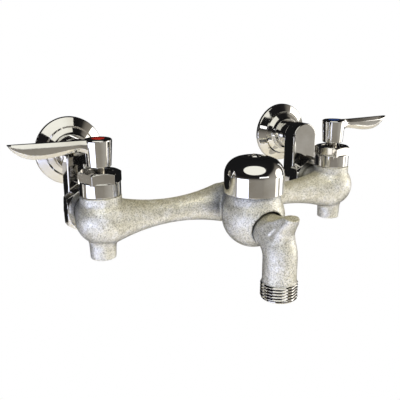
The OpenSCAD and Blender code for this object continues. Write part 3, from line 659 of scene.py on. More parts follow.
@dataclass(frozen=True)
class Softbox:
    """A studio lamp with a flat front that points at the faucet.

    Azimuth 0 is straight in front and 90 to the right; both angles are in degrees and lengths
    in metres. A lamp that isn't mirrored lights rough surfaces and leaves no patch in polish.
    """

    name: str
    azimuth: float
    elevation: float
    distance: float
    width: float
    height: float
    radiance: float
    tint: str = "FFFFFF"
    mirrored: bool = True
    shape: LampShape = LampShape.OBLONG

    def place(self, aim: Vector) -> None:
        """Hang the lamp.

        Args:
            aim: Point that it faces.
        """
        a, e = math.radians(self.azimuth), math.radians(self.elevation)
        back = Vector((math.sin(a) * math.cos(e), -math.cos(a) * math.cos(e), math.sin(e)))
        data = bpy.data.lights.new(self.name, "AREA")
        data.shape, data.size, data.size_y = self.shape.value, self.width, self.height
        data.energy = self.radiance * math.pi * self.width * self.height
        data.color = linear(self.tint)[:3]
        lamp = bpy.data.objects.new(self.name, data)
        lamp.location = aim + back * self.distance
        lamp.rotation_euler = (-back).to_track_quat("-Z", "Y").to_euler()
        lamp.visible_camera = False
        lamp.visible_glossy = self.mirrored
        bpy.context.scene.collection.objects.link(lamp)


@dataclass
class Studio:
    """Plain pale floor, a dim room round it and soft lamps round the faucet, in metres."""

    floor_drop: float = 0.32
    floor_half: float = 0.8
    floor_colour: str = "A8A8AE"
    right_wall: float = 0.8
    back_wall: str = "1C1C1D"
    # Colour of the room from straight down, at 0, up to straight above, at 1
    walls: tuple[tuple[float, str], ...] = (
        (0.0, "C4C1BA"), (0.34, "A09B91"), (0.44, "86817A"), (0.485, "64615A"),
        (0.52, "2B2A2A"), (0.6, "1D1C1D"), (1.0, "232324"))
    aim: Vector = field(default_factory=lambda: Vector((0.0, -0.08, -0.03)))
    lamps: tuple[Softbox, ...] = (
        Softbox("key_softbox", -31, 53, 0.58, 0.8, 0.64, 0.9, "FBFAF0", shape=LampShape.OVAL),
        Softbox("left_table_panel", -75, -13, 0.8, 0.66, 0.26, 2.6, "DFE6FF"),
        Softbox("right_table_panel", 58, -12, 0.9, 0.22, 0.22, 1.6, "FFFBF2"),
        Softbox("far_table_panel", 86, -12, 0.9, 0.34, 0.22, 1.6),
        Softbox("cool_fill", -32, 0, 0.9, 0.5, 0.4, 17.0, "C9D7FF", False),
        Softbox("warm_fill", 10, 54, 0.9, 0.4, 0.4, 52.0, "FFF2C0", False),
        Softbox("rear_fill", 165, 38, 1.1, 0.6, 0.6, 9.0, "FFFFFF", False),
        Softbox("right_window", 71, 9, 1.0, 0.68, 0.62, 1.8, "FFFCF5", shape=LampShape.OVAL),
        Softbox("front_strip", 3, 8, 1.2, 0.75, 0.13, 2.0),
        Softbox("back_left_strip", -121, 0, 1.4, 0.05, 1.2, 3.0),
        Softbox("back_right_strip", 109, 0, 1.4, 0.06, 1.2, 3.0),
    )

    def build(self) -> None:
        """Make the floor, the room and the lamps."""
        bpy.ops.object.select_all(action="DESELECT")
        bpy.ops.mesh.primitive_plane_add(
            size=2 * self.floor_half, location=(0, 0, -self.floor_drop))
        floor = bpy.context.object
        floor.name = "studio_floor"
        floor.data.materials.append(self._paper())
        self._room()
        for lamp in self.lamps:
            lamp.place(self.aim)

    def _paper(self) -> bpy.types.Material:
        """Build matt studio paper, which the camera sees as evenly lit white.

        Returns:
            The paper as a material.
        """
        material, shader = new_material("studio_paper")
        tree = material.node_tree
        shader.inputs["Base Color"].default_value = linear(self.floor_colour)
        shader.inputs["Roughness"].default_value = 0.9
        light = add_node(tree, "ShaderNodeEmission", sockets={"Strength": 1.0})
        path = add_node(tree, "ShaderNodeLightPath")
        mix = add_node(tree, "ShaderNodeMixShader", sockets={
            0: path.outputs["Is Camera Ray"], 1: shader.outputs["BSDF"],
            2: light.outputs["Emission"]})
        tree.links.new(mix.outputs["Shader"], tree.nodes["Material Output"].inputs["Surface"])
        return material

    def _room(self) -> None:
        """Paint the room: white for the camera, and for all else grey-brown walls in front.

        The walls stand higher to the right. Above them and behind the faucet the room is dark.
        """
        world = bpy.data.worlds.new("studio_room")
        bpy.context.scene.world = world
        world.use_nodes = True
        tree = world.node_tree
        tree.nodes.clear()
        way = add_node(tree, "ShaderNodeTexCoord").outputs["Generated"]
        parts = add_node(tree, "ShaderNodeSeparateXYZ", sockets={"Vector": way})
        right = add_node(tree, "ShaderNodeMath", {"operation": "MAXIMUM"}, {
            0: parts.outputs["X"], 1: 0.0})
        tilted = add_node(tree, "ShaderNodeMath", {"operation": "MULTIPLY_ADD"}, {
            0: right.outputs["Value"], 1: -self.right_wall, 2: parts.outputs["Z"]})
        level = add_node(tree, "ShaderNodeMapRange", sockets={
            "Value": tilted.outputs["Value"], "From Min": -1.0, "From Max": 1.0})
        tone = add_node(tree, "ShaderNodeValToRGB", sockets={"Fac": level.outputs["Result"]},
                        stops=self.walls)
        behind = add_node(tree, "ShaderNodeMapRange", sockets={
            "Value": parts.outputs["Y"], "From Min": -0.1, "From Max": 0.35})
        beside = add_node(tree, "ShaderNodeMapRange", sockets={
            "Value": parts.outputs["X"], "From Min": -0.76, "From Max": -0.66})
        dark = add_node(tree, "ShaderNodeMath", {"operation": "MULTIPLY"}, {
            0: behind.outputs["Result"], 1: beside.outputs["Result"]})
        shaded = add_node(tree, "ShaderNodeMix", {"data_type": "RGBA"}, {
            "Factor": dark.outputs["Value"], "A": tone.outputs["Color"],
            "B": linear(self.back_wall)})
        room = add_node(tree, "ShaderNodeBackground", sockets={"Color": shaded.outputs["Result"]})
        white = add_node(tree, "ShaderNodeBackground", sockets={"Color": linear("FFFFFF")})
        path = add_node(tree, "ShaderNodeLightPath")
        mix = add_node(tree, "ShaderNodeMixShader", sockets={
            0: path.outputs["Is Camera Ray"], 1: room.outputs["Background"],
            2: white.outputs["Background"]})
        add_node(tree, "ShaderNodeOutputWorld", sockets={"Surface": mix.outputs["Shader"]})


@dataclass(frozen=True)
class Viewpoint:
    """Camera from the left, slightly above the faucet. Places are in millimetres."""

    place: tuple[float, float, float] = (-223.21, -439.78, 81.16)
    aim: tuple[float, float, float] = (-25.84, -76.83, -34.12)
    lens: float = 49.33

    def build(self) -> None:
        """Make the camera and set it as the scene's."""
        data = bpy.data.cameras.new("front_left_camera")
        data.lens, data.sensor_width = self.lens, 36.0
        data.clip_start, data.clip_end = 0.01, 20.0
        camera = bpy.data.objects.new("front_left_camera", data)
        place, aim = Vector(self.place) * MM, Vector(self.aim) * MM
        camera.location = place
        camera.rotation_euler = (aim - place).to_track_quat("-Z", "Y").to_euler()
        bpy.context.scene.collection.objects.link(camera)
        bpy.context.scene.camera = camera


# ---------------------------------------------------------------- the faucet's layout


@dataclass(frozen=True)
class Layout:
    """Places of the faucet's axes, in millimetres from the wall plane's middle."""

    half_span: float = 106.0
    valve_reach: float = 77.0
    breaker_lead: float = 36.0
    outlet_lead: float = 35.0
    inlet_drop: float = 37.0

    def valve(self, sign: int) -> Matrix:
        """Return the place of a valve axis at the yoke's height, for -1 left or 1 right."""
        return Matrix.Translation(
            Vector((sign * self.half_span, -self.valve_reach, -self.inlet_drop)) * MM)

    def breaker(self) -> Matrix:
        """Return the place of the breaker axis at the yoke's height."""
        return Matrix.Translation(
            Vector((0, -self.valve_reach - self.breaker_lead, -self.inlet_drop)) * MM)

    def outlet(self) -> Matrix:
        """Return the place of the outlet axis at the height of the wall plane's middle."""
        return Matrix.Translation(
            Vector((0, -self.valve_reach - self.breaker_lead - self.outlet_lead, 0)) * MM)

    def inlet(self, sign: int) -> Matrix:
        """Return the place of a wall inlet, whose Z points away from the wall."""
        return (Matrix.Translation(Vector((sign * self.half_span, 0, 0)) * MM)
                @ Matrix.Rotation(math.pi / 2, 4, "X"))


@dataclass
class YokeCasting:
    """The cast yoke: two valve bodies, their cross arms and the vacuum breaker's ball."""

    layout: Layout
    book: FinishBook
    voxel: float = 0.75
    passes: int = 10
    most_triangles: int = 190_000
    # What is machined: the collar and the necks above, the bosses behind and the stubs' ends
    collar_zone: float = 22.0
    valve_zone: float = 20.0
    collar_low: float = 8.0
    neck_low: float = 16.0
    boss_back: float = 18.0
    stub_low: float = -27.5
    stop_d: float = 13.8
    stop_low: float = -26.0
    stop_seat: float = -6.85

    def _machined(self, point: Vector) -> bool:
        """Tell whether a point lies on a machined seat, neck, boss or stub end.

        Args:
            point: The point, in millimetres.

        Returns:
            Whether it does.
        """
        lay = self.layout
        rise = point.z + lay.inlet_drop
        back = point.y + lay.valve_reach
        near_collar = math.hypot(point.x, back + lay.breaker_lead) < self.collar_zone
        if near_collar and rise > self.collar_low:
            return True
        beside = abs(point.x) > lay.half_span - self.valve_zone
        return beside and (rise > self.neck_low or rise < self.stub_low or back > self.boss_back)

    def build(self) -> None:
        """Make the casting, bore its stops and dress it."""
        piece = soften_casting(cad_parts["yoke_body"], "yoke_casting", self.voxel,
                               self.passes, self._machined, self.most_triangles)
        for sign in (-1, 1):
            bore = drill(self.stop_d, self.stop_low, self.stop_seat, "stop_bore")
            settle(bore, self.layout.valve(sign))
            combine(piece, bore, Cut.DIFFERENCE)
        self.book.dress(piece, Slot.CAST_CHROME)
        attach(piece, "yoke")
        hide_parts("yoke_body")
        report(piece)


@dataclass
class Spout:
    """The cast spout with its pail hook, and the hose thread cut at its outlet.

    Forward and up are counted from where the neck's axis meets the outlet's.
    """

    layout: Layout
    book: FinishBook
    voxel: float = 0.45
    passes: int = 4
    most_triangles: int = 150_000
    # Above this Y the spigot is machined
    spigot_y: float = -134.0
    thread_d: float = 27.0
    pitch: float = 2.209
    # Share of the pitch that is flat on a crest, and again in a root
    flat_share: float = 0.16
    depth: float = 1.3
    end_z: float = -92.5
    thread_top: float = -79.4
    thread_overlap: float = 0.6
    thread_margin: float = 1.5
    lead_in: float = 1.2
    bore_d: float = 17.0
    neck_z: float = -46.0
    tube_d: float = 24.8
    saddle_r: float = 15.0
    saddle_forward: float = -5.5
    saddle_up: float = 10.7
    hook_back: float = -15.0
    hook_taper: float = 11.3
    nose_steps: int = 12
    nose_power: float = 0.8
    # The roof is a round bar that climbs forward at this angle
    roof_ramp: float = 14.0
    roof_forward: float = 8.5
    # Flats that trim the tip: forward, up, and how far each leans
    hook_flats: tuple[tuple[float, float, float], ...] = ((9.0, 16.7, -14.7), (9.0, 16.7, 4.0))
    # Height over the neck's axis, half width, where the flank ends and where the front lies
    hook_stations: tuple[tuple[float, float, float, float], ...] = (
        (-9.0, 11.9, -5.0, 9.6), (-3.2, 11.2, -1.9, 7.8), (2.0, 8.9, 1.0, 8.6),
        (5.0, 8.0, 3.4, 10.2), (8.0, 7.3, 5.5, 12.1), (11.5, 6.5, 8.0, 14.4),
        (14.5, 5.6, 9.6, 16.1), (19.0, 4.6, 11.0, 18.0))

    def _hook_outline(self, wide: float, edge: float, front: float) -> list[tuple[float, float]]:
        """Draw a level section through the pail hook.

        Args:
            wide: Its half width where the flanks end.
            edge: How far forward the flanks end.
            front: How far forward its middle reaches.

        Returns:
            How far across and how far forward each point lies, in order round the section.
        """
        taper, power = math.tan(math.radians(self.hook_taper)), self.nose_power
        run = edge - self.hook_back
        flank = [(wide + (edge - f) * taper, f)
                 for f in (self.hook_back + run * k / 8 for k in range(9))]
        turns = (math.pi / 2 * k / self.nose_steps for k in range(1, self.nose_steps + 1))
        nose = [(wide * math.cos(a) ** power, edge + (front - edge) * math.sin(a) ** power)
                for a in turns]
        half = flank + nose[:-1]
        return [*half, nose[-1], *((-x, f) for x, f in reversed(half))]

    def _hook(self) -> bpy.types.Object:
        """Draw the pail hook's tongue up through its sections and cut it on top.

        Returns:
            The tongue, in its place on the spout.
        """
        outlines = [self._hook_outline(*station[1:]) for station in self.hook_stations]
        count = len(outlines[0])
        bpy.ops.object.select_all(action="DESELECT")
        bpy.ops.mesh.primitive_circle_add(vertices=count, radius=MM, fill_type="NGON")
        piece = bpy.context.object
        bpy.ops.object.mode_set(mode="EDIT")
        bpy.ops.mesh.select_mode(type="FACE")
        bpy.ops.mesh.select_all(action="SELECT")
        for _ in self.hook_stations[1:]:
            bpy.ops.mesh.extrude_region_move(TRANSFORM_OT_translate={"value": (0, 0, MM)})
        bpy.ops.object.mode_set(mode="OBJECT")
        step = 2 * math.pi / count
        for vertex in piece.data.vertices:
            ring = round(vertex.co.z / MM)
            turn = math.atan2(vertex.co.y, vertex.co.x) / step
            across, ahead = outlines[ring][round(turn) % count]
            vertex.co = Vector((across, -ahead, self.hook_stations[ring][0])) * MM
        bpy.ops.object.mode_set(mode="EDIT")
        for ahead, high, lean in self.hook_flats:
            bpy.ops.mesh.select_all(action="SELECT")
            slope = math.radians(lean)
            bpy.ops.mesh.bisect(
                plane_co=(0, -ahead * MM, high * MM),
                plane_no=(0, math.sin(slope), math.cos(slope)), clear_outer=True, use_fill=True)
        bpy.ops.object.mode_set(mode="OBJECT")
        close_up(piece)
        roof = drill(self.tube_d, -45, 45, "hook_roof")
        settle(roof, Matrix.Translation((0, self.roof_forward * MM, 0))
               @ Matrix.Rotation(math.radians(90 - self.roof_ramp), 4, "X"))
        combine(piece, roof, Cut.INTERSECT)
        settle(piece, self.layout.outlet() @ Matrix.Translation((0, 0, self.neck_z * MM)))
        return piece

    def _rework(self, piece: bpy.types.Object) -> None:
        """Cast the pail hook on and hollow the saddle behind it.

        Args:
            piece: The spout's casting.
        """
        combine(piece, self._hook(), Cut.UNION)
        saddle = drill(2 * self.saddle_r, -30, 30, "saddle")
        settle(saddle, self.layout.outlet() @ Matrix.Translation(
            Vector((0, -self.saddle_forward, self.neck_z + self.saddle_up + self.saddle_r)) * MM)
            @ Matrix.Rotation(math.pi / 2, 4, "Y"))
        combine(piece, saddle, Cut.DIFFERENCE)

    def _casting(self) -> bpy.types.Object:
        """Make the cast part and cut it off where the thread starts.

        Returns:
            The casting.
        """
        thread_zone = self.thread_top + self.thread_margin
        piece = soften_casting(
            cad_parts["spout"], "spout_casting", self.voxel, self.passes,
            lambda p: p.z < thread_zone or p.y > self.spigot_y, self.most_triangles, self._rework)
        pick(piece)
        bpy.ops.object.mode_set(mode="EDIT")
        bpy.ops.mesh.select_all(action="SELECT")
        bpy.ops.mesh.bisect(
            plane_co=(0, 0, (self.thread_top - self.thread_overlap) * MM), plane_no=(0, 0, 1),
            clear_inner=True, use_fill=True)
        bpy.ops.object.mode_set(mode="OBJECT")
        return piece

    def _thread(self) -> bpy.types.Object:
        """Wind the hose thread at its real pitch and cut it to length.

        Returns:
            The threaded end of the spout.
        """
        crest, root = self.thread_d / 2, self.thread_d / 2 - self.depth
        flat = self.pitch * self.flat_share
        flank = (self.pitch - 2 * flat) / 2
        start = self.end_z - 2 * self.pitch
        bpy.ops.object.select_all(action="DESELECT")
        bpy.ops.mesh.primitive_circle_add(vertices=4, radius=MM, fill_type="NOTHING")
        piece = bpy.context.object
        piece.name = piece.data.name = "hose_thread"
        profile = [(root, 0), (root, flat), (crest, flat + flank), (crest, 2 * flat + flank),
                   (root, self.pitch)]
        bpy.ops.object.mode_set(mode="EDIT")
        bpy.ops.mesh.select_mode(type="VERT")
        bpy.ops.mesh.select_all(action="SELECT")
        bpy.ops.mesh.merge(type="CENTER")
        bpy.ops.transform.translate(value=(root * MM, 0, start * MM))
        for (r0, z0), (r1, z1) in zip(profile, profile[1:]):
            bpy.ops.mesh.extrude_region_move(
                TRANSFORM_OT_translate={"value": ((r1 - r0) * MM, 0, (z1 - z0) * MM)})
        bpy.ops.object.mode_set(mode="OBJECT")
        turns = math.ceil((self.thread_top - start) / self.pitch) + 2
        apply_modifier(piece, "SCREW", axis="Z", screw_offset=self.pitch * MM, iterations=turns,
                       steps=96, render_steps=96, use_merge_vertices=True, merge_threshold=1e-6)
        pick(piece)
        bpy.ops.object.mode_set(mode="EDIT")
        for height, lower in ((self.end_z - 1, True), (self.thread_top + 1, False)):
            bpy.ops.mesh.select_all(action="SELECT")
            bpy.ops.mesh.bisect(
                plane_co=(0, 0, height * MM), plane_no=(0, 0, 1), clear_inner=lower,
                clear_outer=not lower, use_fill=True)
        bpy.ops.object.mode_set(mode="OBJECT")
        close_up(piece)
        low, high, cut = self.end_z, self.thread_top, self.lead_in
        combine(piece, turned("thread_envelope", [
            (self.bore_d / 2, low), (crest - cut, low), (crest + 0.02, low + cut),
            (crest + 0.02, high - cut), (root, high), (root - 0.9, high + 0.3),
            (self.bore_d / 2, high + 0.3)]), Cut.INTERSECT)
        settle(piece, self.layout.outlet())
        polish(piece, 0.0, 75)
        return piece

    def build(self) -> None:
        """Make both pieces and dress them."""
        casting, thread = self._casting(), self._thread()
        self.book.dress(casting, Slot.CAST_CHROME)
        self.book.dress(thread, Slot.POLISHED_CHROME)
        for piece in (casting, thread):
            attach(piece, "yoke")
            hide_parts("spout")
            report(piece)


@dataclass
class BreakerCap:
    """The vacuum breaker's dome cap and the screw that holds it."""

    layout: Layout
    book: FinishBook
    radius: float = 22.3
    rim: float = 14.9
    top: float = 41.9
    shoulder: float = 13.0
    crown: float = 0.8
    wall: float = 1.2
    recess_r: float = 4.8
    recess: float = 1.4
    hole_r: float = 2.1
    screw_r: float = 4.3
    screw_h: float = 2.8
    slot: float = 1.1

    def _cap(self) -> bpy.types.Object:
        """Turn the drawn cap.

        Returns:
            The cap, a shell with a recess for its screw.
        """
        r, wall, floor = self.radius, self.wall, self.top - self.recess
        edge = self.top - self.crown
        return turned("breaker_cap", rounded([
            (r - wall, self.rim, 0.3), (r, self.rim, 0.5), (r, edge, self.shoulder),
            (8.6, edge, 24.0), (self.recess_r, self.top, 0.4), (self.recess_r, floor),
            (self.hole_r, floor), (self.hole_r, floor - wall),
            (self.recess_r + wall, floor - wall), (self.recess_r + wall, edge - wall),
            (r - wall, edge - wall, self.shoulder - wall)], 20), 144)

    def _screw(self) -> bpy.types.Object:
        """Turn the round-headed screw and saw its slot.

        Returns:
            The screw.
        """
        low = self.top - self.recess
        piece = turned("breaker_cap_screw", rounded([
            (0, low - 8), (2.0, low - 8), (2.0, low), (self.screw_r, low),
            (self.screw_r, low + 1.0, 0.3), (3.4, low + 2.1, 1.6), (1.4, low + self.screw_h, 1.8),
            (0, low + self.screw_h)], 8))
        bpy.ops.object.select_all(action="DESELECT")
        bpy.ops.mesh.primitive_cube_add(
            size=MM, location=(0, 0, (low + self.screw_h) * MM), scale=(9, self.slot, 2.2),
            rotation=(0, 0, math.radians(20)))
        combine(piece, bpy.context.object, Cut.DIFFERENCE)
        return piece

    def build(self) -> None:
        """Make both pieces and dress them."""
        for piece, node in ((self._cap(), "dome_cap"), (self._screw(), "cap_screw")):
            settle(piece, self.layout.breaker())
            polish(piece, 0.12 if node == "cap_screw" else 0.0)
            self.book.dress(piece, Slot.POLISHED_CHROME)
            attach(piece, "yoke")
            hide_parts(node)
            report(piece)


class Side(Enum):
    """The two sides of the faucet, seen from the front."""

    LEFT = -1
    RIGHT = 1

    @property
    def tag(self) -> str:
        """Return the word that starts the names of this side's nodes."""
        return self.name.lower()


@dataclass
class Valve:
    """What shows of one valve: its bonnet nut, its lever and the index button."""

    layout: Layout
    book: FinishBook
    side: Side
    nut_turn: float
    neck_rise: float = 17.8
    skirt_r: float = 14.65
    skirt_h: float = 10.4
    hex_across: float = 27.0
    hex_h: float = 6.9
    bore_r: float = 12.3
    bore_top: float = 30.1
    neck_r: float = 9.1
    hub_z: float = 38.2
    hub_h: float = 19.5
    hub_foot_r: float = 8.5
    hub_top_r: float = 9.8
    stem_r: float = 4.1
    stem_top: float = 49.3
    index_r: float = 4.7
    index_seat: float = 1.8
    index_rise: float = 0.5
    screw_head_r: float = 3.4
    screw_head_t: float = 2.6
    screw_r: float = 1.8
    reach: float = 60.0
    depth: float = 10.8
    thick: float = 6.4
    # Share of the reach at which the blade is deepest, and of its depth that it has at the hub
    belly_share: float = 0.66
    root_share: float = 0.69

    def _nut(self) -> bpy.types.Object:
        """Make the bonnet nut: a round skirt under a hexagon.

        Returns:
            The nut.
        """
        low, shoulder = self.neck_rise, self.neck_rise + self.skirt_h
        top = shoulder + self.hex_h
        piece = turned(f"{self.side.tag}_bonnet_nut_visual", rounded([
            (0, low), (self.skirt_r, low, 0.7), (self.skirt_r, shoulder, 0.7),
            (0, shoulder)], 5))
        turn = self.nut_turn if self.side is Side.RIGHT else 180 - self.nut_turn
        combine(piece, hex_block("bonnet_hex", self.hex_across, shoulder - 1.2, top, turn, False),
                Cut.UNION)
        combine(piece, turned("bonnet_bore", [
            (0, low - 1), (self.bore_r, low - 1), (self.bore_r, self.bore_top),
            (self.neck_r, self.bore_top), (self.neck_r, top + 1), (0, top + 1)]), Cut.DIFFERENCE)
        polish(piece, 0.22, 28)
        return piece

    def _hub(self) -> bpy.types.Object:
        """Turn the lever's hub with its bore, its screw hole and the button's seat.

        Returns:
            The hub.
        """
        low, top = self.hub_z, self.hub_z + self.hub_h
        seat = top - self.index_seat
        return turned(f"{self.side.tag}_lever_visual", rounded([
            (self.stem_r, low), (self.hub_foot_r, low, 0.7), (self.hub_top_r, top, 1.5),
            (self.index_r + 0.15, top, 0.2), (self.index_r + 0.15, seat),
            (self.screw_head_r, seat), (self.screw_head_r, seat - self.screw_head_t),
            (self.screw_r, seat - self.screw_head_t), (self.screw_r, self.stem_top),
            (self.stem_r, self.stem_top)], 6))

    def _drop(self, x: float) -> float:
        """Return how far the blade's lower edge lies below its top edge.

        Args:
            x: Distance from the hub's axis.

        Returns:
            The blade's depth there.
        """
        root, belly = self.hub_top_r, self.reach * self.belly_share
        shallow = self.depth * self.root_share
        if x < belly:
            wave = (1 - math.cos(math.pi * (x - root) / (belly - root))) / 2
            return shallow + (self.depth - shallow) * wave
        share = (x - belly) / (self.reach - belly)
        return self.depth * max(0.0, 1 - share ** 2.4) ** 0.72

    def _section(self, x: float) -> list[tuple[float, float]]:
        """Draw the blade's cross-section, an octagon that flares out into the hub.

        Args:
            x: Distance from the hub's axis.

        Returns:
            Across and up of sixteen points, two for each rounded corner, in order.
        """
        flare = max(0.0, min(1.2, (14.6 - x) / 4.8)) ** 2
        high = self.hub_z + self.hub_h - 0.4 + 0.6 * (x / self.reach) ** 2
        drop = max(self._drop(x), 0.9) + 1.6 * flare
        half = self.thick / 2 * (1 - 0.35 * (x / self.reach) ** 3) + 0.7 * flare
        bevel, thin = min(2.9, drop * 0.33), half * (0.48 + 0.2 * min(flare, 1))
        corners = [(half, high - drop + bevel), (half, high - bevel), (thin, high),
                   (-thin, high), (-half, high - bevel), (-half, high - drop + bevel),
                   (-thin, high - drop), (thin, high - drop)]
        points: list[tuple[float, float]] = []
        for i, corner in enumerate(corners):
            here = Vector(corner)
            for other in (corners[i - 1], corners[(i + 1) % 8]):
                way = Vector(other) - here
                point = here + way * min(0.3, 0.22 / way.length)
                points.append((point.x, point.y))
        return points

    def _blade(self) -> bpy.types.Object:
        """Draw the lever's blade out through its sections towards +X.

        Returns:
            The blade.
        """
        steps, root = 44, self.hub_foot_r / 2
        stations = [root + (self.reach - root) * math.sin(math.pi / 2 * i / steps)
                    for i in range(steps + 1)]
        bpy.ops.object.select_all(action="DESELECT")
        bpy.ops.mesh.primitive_circle_add(
            vertices=16, radius=MM, fill_type="NGON", location=(root * MM, 0, 0),
            rotation=(0, math.pi / 2, 0))
        piece = bpy.context.object
        bpy.ops.object.mode_set(mode="EDIT")
        bpy.ops.mesh.select_mode(type="FACE")
        bpy.ops.mesh.select_all(action="SELECT")
        for near, far in zip(stations, stations[1:]):
            bpy.ops.mesh.extrude_region_move(
                TRANSFORM_OT_translate={"value": ((far - near) * MM, 0, 0)})
        bpy.ops.object.mode_set(mode="OBJECT")
        bpy.ops.object.transform_apply(location=True, rotation=True, scale=True)
        sections = [self._section(x) for x in stations]
        for vertex in piece.data.vertices:
            x = vertex.co.x / MM
            ring = min(range(steps + 1), key=lambda i: abs(stations[i] - x))
            turn = math.atan2(vertex.co.z, vertex.co.y) / (math.pi / 8)
            across, up = sections[ring][(round(turn) + 2) % 16]
            vertex.co = Vector((stations[ring], across, up)) * MM
        close_up(piece)
        return piece

    def _lever(self) -> bpy.types.Object:
        """Join the hub and the blade, which points away from the faucet's middle.

        Returns:
            The lever.
        """
        piece, blade = self._hub(), self._blade()
        combine(piece, blade, Cut.UNION)
        if self.side is Side.LEFT:
            settle(piece, Matrix.Rotation(math.pi, 4, "Z"))
        polish(piece, 0.0, 22)
        return piece

    def _button(self) -> bpy.types.Object:
        """Turn the index button with its crowned face.

        Returns:
            The button.
        """
        low, top = self.hub_z + self.hub_h - self.index_seat, self.hub_z + self.hub_h
        piece = turned(f"{self.side.tag}_index_button_visual", rounded([
            (0, low), (self.index_r, low), (self.index_r, top + 0.1, 0.3),
            (self.index_r - 1.1, top + 0.4, 3.0), (0, top + self.index_rise)], 6))
        polish(piece, 0.0)
        return piece

    def build(self) -> None:
        """Make the pieces and dress them."""
        tag = self.side.tag
        index = Slot.HOT_INDEX if self.side is Side.LEFT else Slot.COLD_INDEX
        for piece, node, body, slot in (
            (self._nut(), "bonnet_nut", "yoke", Slot.POLISHED_CHROME),
            (self._lever(), "lever", f"{tag}_handle", Slot.POLISHED_CHROME),
            (self._button(), "index_button", f"{tag}_handle", index),
        ):
            settle(piece, self.layout.valve(self.side.value))
            self.book.dress(piece, slot)
            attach(piece, body)
            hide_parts(f"{tag}_{node}")
            report(piece)


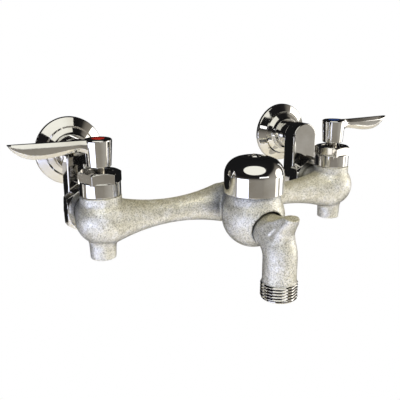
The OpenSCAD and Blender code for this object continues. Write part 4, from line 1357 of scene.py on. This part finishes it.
@dataclass
class Supply:
    """One supply: its union nut, its offset shank and the flange on the wall."""

    layout: Layout
    book: FinishBook
    side: Side
    nut_across: float = 36.0
    nut_low: float = 41.5
    nut_high: float = 53.5
    nut_web: float = 2.0
    boss_r: float = 13.3
    arm_back: float = 25.0
    arm_t: float = 15.0
    lobe_r: float = 13.0
    arm_edge: float = 1.3
    tube_r: float = 12.5
    thread_r: float = 9.3
    thread_end: float = 16.0
    bore_r: float = 7.0
    tail_r: float = 10.0
    collar_r: float = 12.6
    collar_low: float = 43.56
    collar_high: float = 46.56
    flange_r: float = 27.7
    flange_h: float = 12.5
    wall: float = 1.6

    def _nut(self) -> bpy.types.Object:
        """Make the union nut.

        Returns:
            The nut.
        """
        low, high = self.nut_low, self.nut_high
        piece = hex_block(f"{self.side.tag}_union_nut_visual", self.nut_across, low, high, 90, True)
        combine(piece, turned("union_bore", [
            (0, low - 1), (self.tail_r + 0.06, low - 1), (self.tail_r + 0.06, low + self.nut_web),
            (self.boss_r, low + self.nut_web), (self.boss_r, high + 1), (0, high + 1)]),
            Cut.DIFFERENCE)
        settle(piece, Matrix.Translation((0, -self.layout.inlet_drop * MM, 0)))
        polish(piece, 0.35, 20)
        return piece

    def _shank(self) -> bpy.types.Object:
        """Make the offset shank: supply tube, offset arm and tail piece.

        Returns:
            The shank.
        """
        drop, front = self.layout.inlet_drop, self.arm_back + self.arm_t
        middle = self.arm_back + self.arm_t / 2
        bpy.ops.object.select_all(action="DESELECT")
        bpy.ops.mesh.primitive_circle_add(
            vertices=96, radius=self.lobe_r * MM, fill_type="NGON",
            location=(0, 0, self.arm_back * MM), rotation=(0, 0, math.pi / 96))
        piece = bpy.context.object
        piece.name = piece.data.name = f"{self.side.tag}_offset_shank_visual"
        bpy.ops.object.transform_apply(location=True, rotation=True, scale=True)
        bpy.ops.object.mode_set(mode="EDIT")
        bpy.ops.mesh.select_mode(type="VERT")
        bpy.ops.mesh.select_all(action="DESELECT")
        bpy.ops.object.mode_set(mode="OBJECT")
        for vertex in piece.data.vertices:
            vertex.select = vertex.co.y < 0
        bpy.ops.object.mode_set(mode="EDIT")
        bpy.ops.transform.translate(value=(0, -drop * MM, 0))
        bpy.ops.mesh.select_mode(type="FACE")
        bpy.ops.mesh.select_all(action="SELECT")
        bpy.ops.mesh.extrude_region_move(
            TRANSFORM_OT_translate={"value": (0, 0, self.arm_t * MM)})
        bpy.ops.object.mode_set(mode="OBJECT")
        close_up(piece)
        apply_modifier(piece, "BEVEL", width=self.arm_edge * MM, segments=7,
                       limit_method="ANGLE", angle_limit=math.radians(40))
        tail = turned("tail_piece", rounded([
            (0, front - 3), (self.tail_r, front - 3), (self.tail_r, self.collar_low),
            (self.collar_r, self.collar_low, 0.3), (self.collar_r, self.collar_high, 0.4),
            (0, self.collar_high)], 4))
        settle(tail, Matrix.Translation((0, -drop * MM, 0)))
        combine(piece, tail, Cut.UNION)
        combine(piece, drill(2 * self.tube_r, 1, self.arm_back + 3, "supply_tube"), Cut.UNION)
        combine(piece, turned("pipe_bore", [
            (0, 0), (self.thread_r, 0), (self.thread_r, self.thread_end),
            (self.bore_r, self.thread_end + 1.5), (self.bore_r, middle), (0, middle)]),
            Cut.DIFFERENCE)
        bore = drill(2 * self.bore_r, middle, self.collar_high + 1)
        settle(bore, Matrix.Translation((0, -drop * MM, 0)))
        combine(piece, bore, Cut.DIFFERENCE)
        polish(piece, 0.0, 30)
        return piece

    def _flange(self) -> bpy.types.Object:
        """Spin the wall flange with a rolled rim, a stepped cone and a short hub.

        Returns:
            The flange.
        """
        r, hub, wall = self.flange_r, self.tube_r + 2.1, self.wall
        piece = turned(f"{self.side.tag}_wall_flange_visual", rounded([
            (r - wall, 0), (r, 0), (r, 2.6, 1.6), (20.6, 6.1, 0.4), (19.2, 6.2, 0.4),
            (hub + 0.8, 8.6, 1.6), (hub - 0.2, self.flange_h, 0.5),
            (self.tube_r + 0.1, self.flange_h), (self.tube_r + 0.1, 6.9), (hub, 6.9),
            (r - 3.2, 1.6, 1.0), (r - wall, 0.6)], 10), 144)
        polish(piece, 0.0, 30)
        return piece

    def build(self) -> None:
        """Make the pieces and dress them."""
        tag = self.side.tag
        for piece, node, body in (
            (self._nut(), "union_nut", "yoke"),
            (self._shank(), "offset_shank", f"{tag}_shank"),
            (self._flange(), "wall_flange", f"{tag}_shank"),
        ):
            settle(piece, self.layout.inlet(self.side.value))
            self.book.dress(piece, Slot.POLISHED_CHROME)
            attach(piece, body)
            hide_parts(f"{tag}_{node}")
            report(piece)


@dataclass
class InnerWorks:
    """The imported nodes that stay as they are, and what each is made of."""

    book: FinishBook
    middle: dict[str, Slot] = field(default_factory=lambda: {
        "spout_washer": Slot.RUBBER, "breaker_float": Slot.FLOAT_PLASTIC,
        "breaker_float_washer": Slot.RUBBER, "vent_bonnet": Slot.BRASS,
        "vent_bonnet_gasket": Slot.RUBBER})
    sides: dict[str, Slot] = field(default_factory=lambda: {
        "cartridge_housing": Slot.BRASS, "housing_seal": Slot.RUBBER,
        "seat_washer": Slot.RUBBER, "fixed_disc": Slot.CERAMIC, "turning_disc": Slot.CERAMIC,
        "stem": Slot.BRASS, "stem_seals": Slot.RUBBER, "lever_screw": Slot.STAINLESS,
        "stop_gland": Slot.BRASS, "stop_seal": Slot.RUBBER, "stop_spindle": Slot.BRASS,
        "stop_washer": Slot.RUBBER, "union_washer": Slot.RUBBER})
    # Brass pieces that show from outside
    plated: tuple[str, ...] = ("cartridge_housing", "stem")

    def build(self) -> None:
        """Dress the nodes."""
        for name, slot in self.middle.items():
            self.book.dress(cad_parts[name], slot)
        for side in Side:
            for name, slot in self.sides.items():
                self.book.dress(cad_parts[f"{side.tag}_{name}"], slot, name in self.plated)
        LOG.info("inner works dressed")


# ---------------------------------------------------------------- main


def main() -> None:
    """Build the studio and the faucet, piece by piece."""
    logging.basicConfig(level=logging.INFO, format="%(name)s: %(message)s")
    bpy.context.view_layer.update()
    Viewpoint().build()
    Studio().build()
    book, layout = FinishBook(), Layout()
    InnerWorks(book).build()
    YokeCasting(layout, book).build()
    Spout(layout, book).build()
    BreakerCap(layout, book).build()
    for side, turn in ((Side.LEFT, 8.0), (Side.RIGHT, 3.0)):
        Valve(layout, book, side, turn).build()
        Supply(layout, book, side).build()
    bpy.context.scene.view_settings.view_transform = "Standard"


if __name__ == "__main__":
    main()
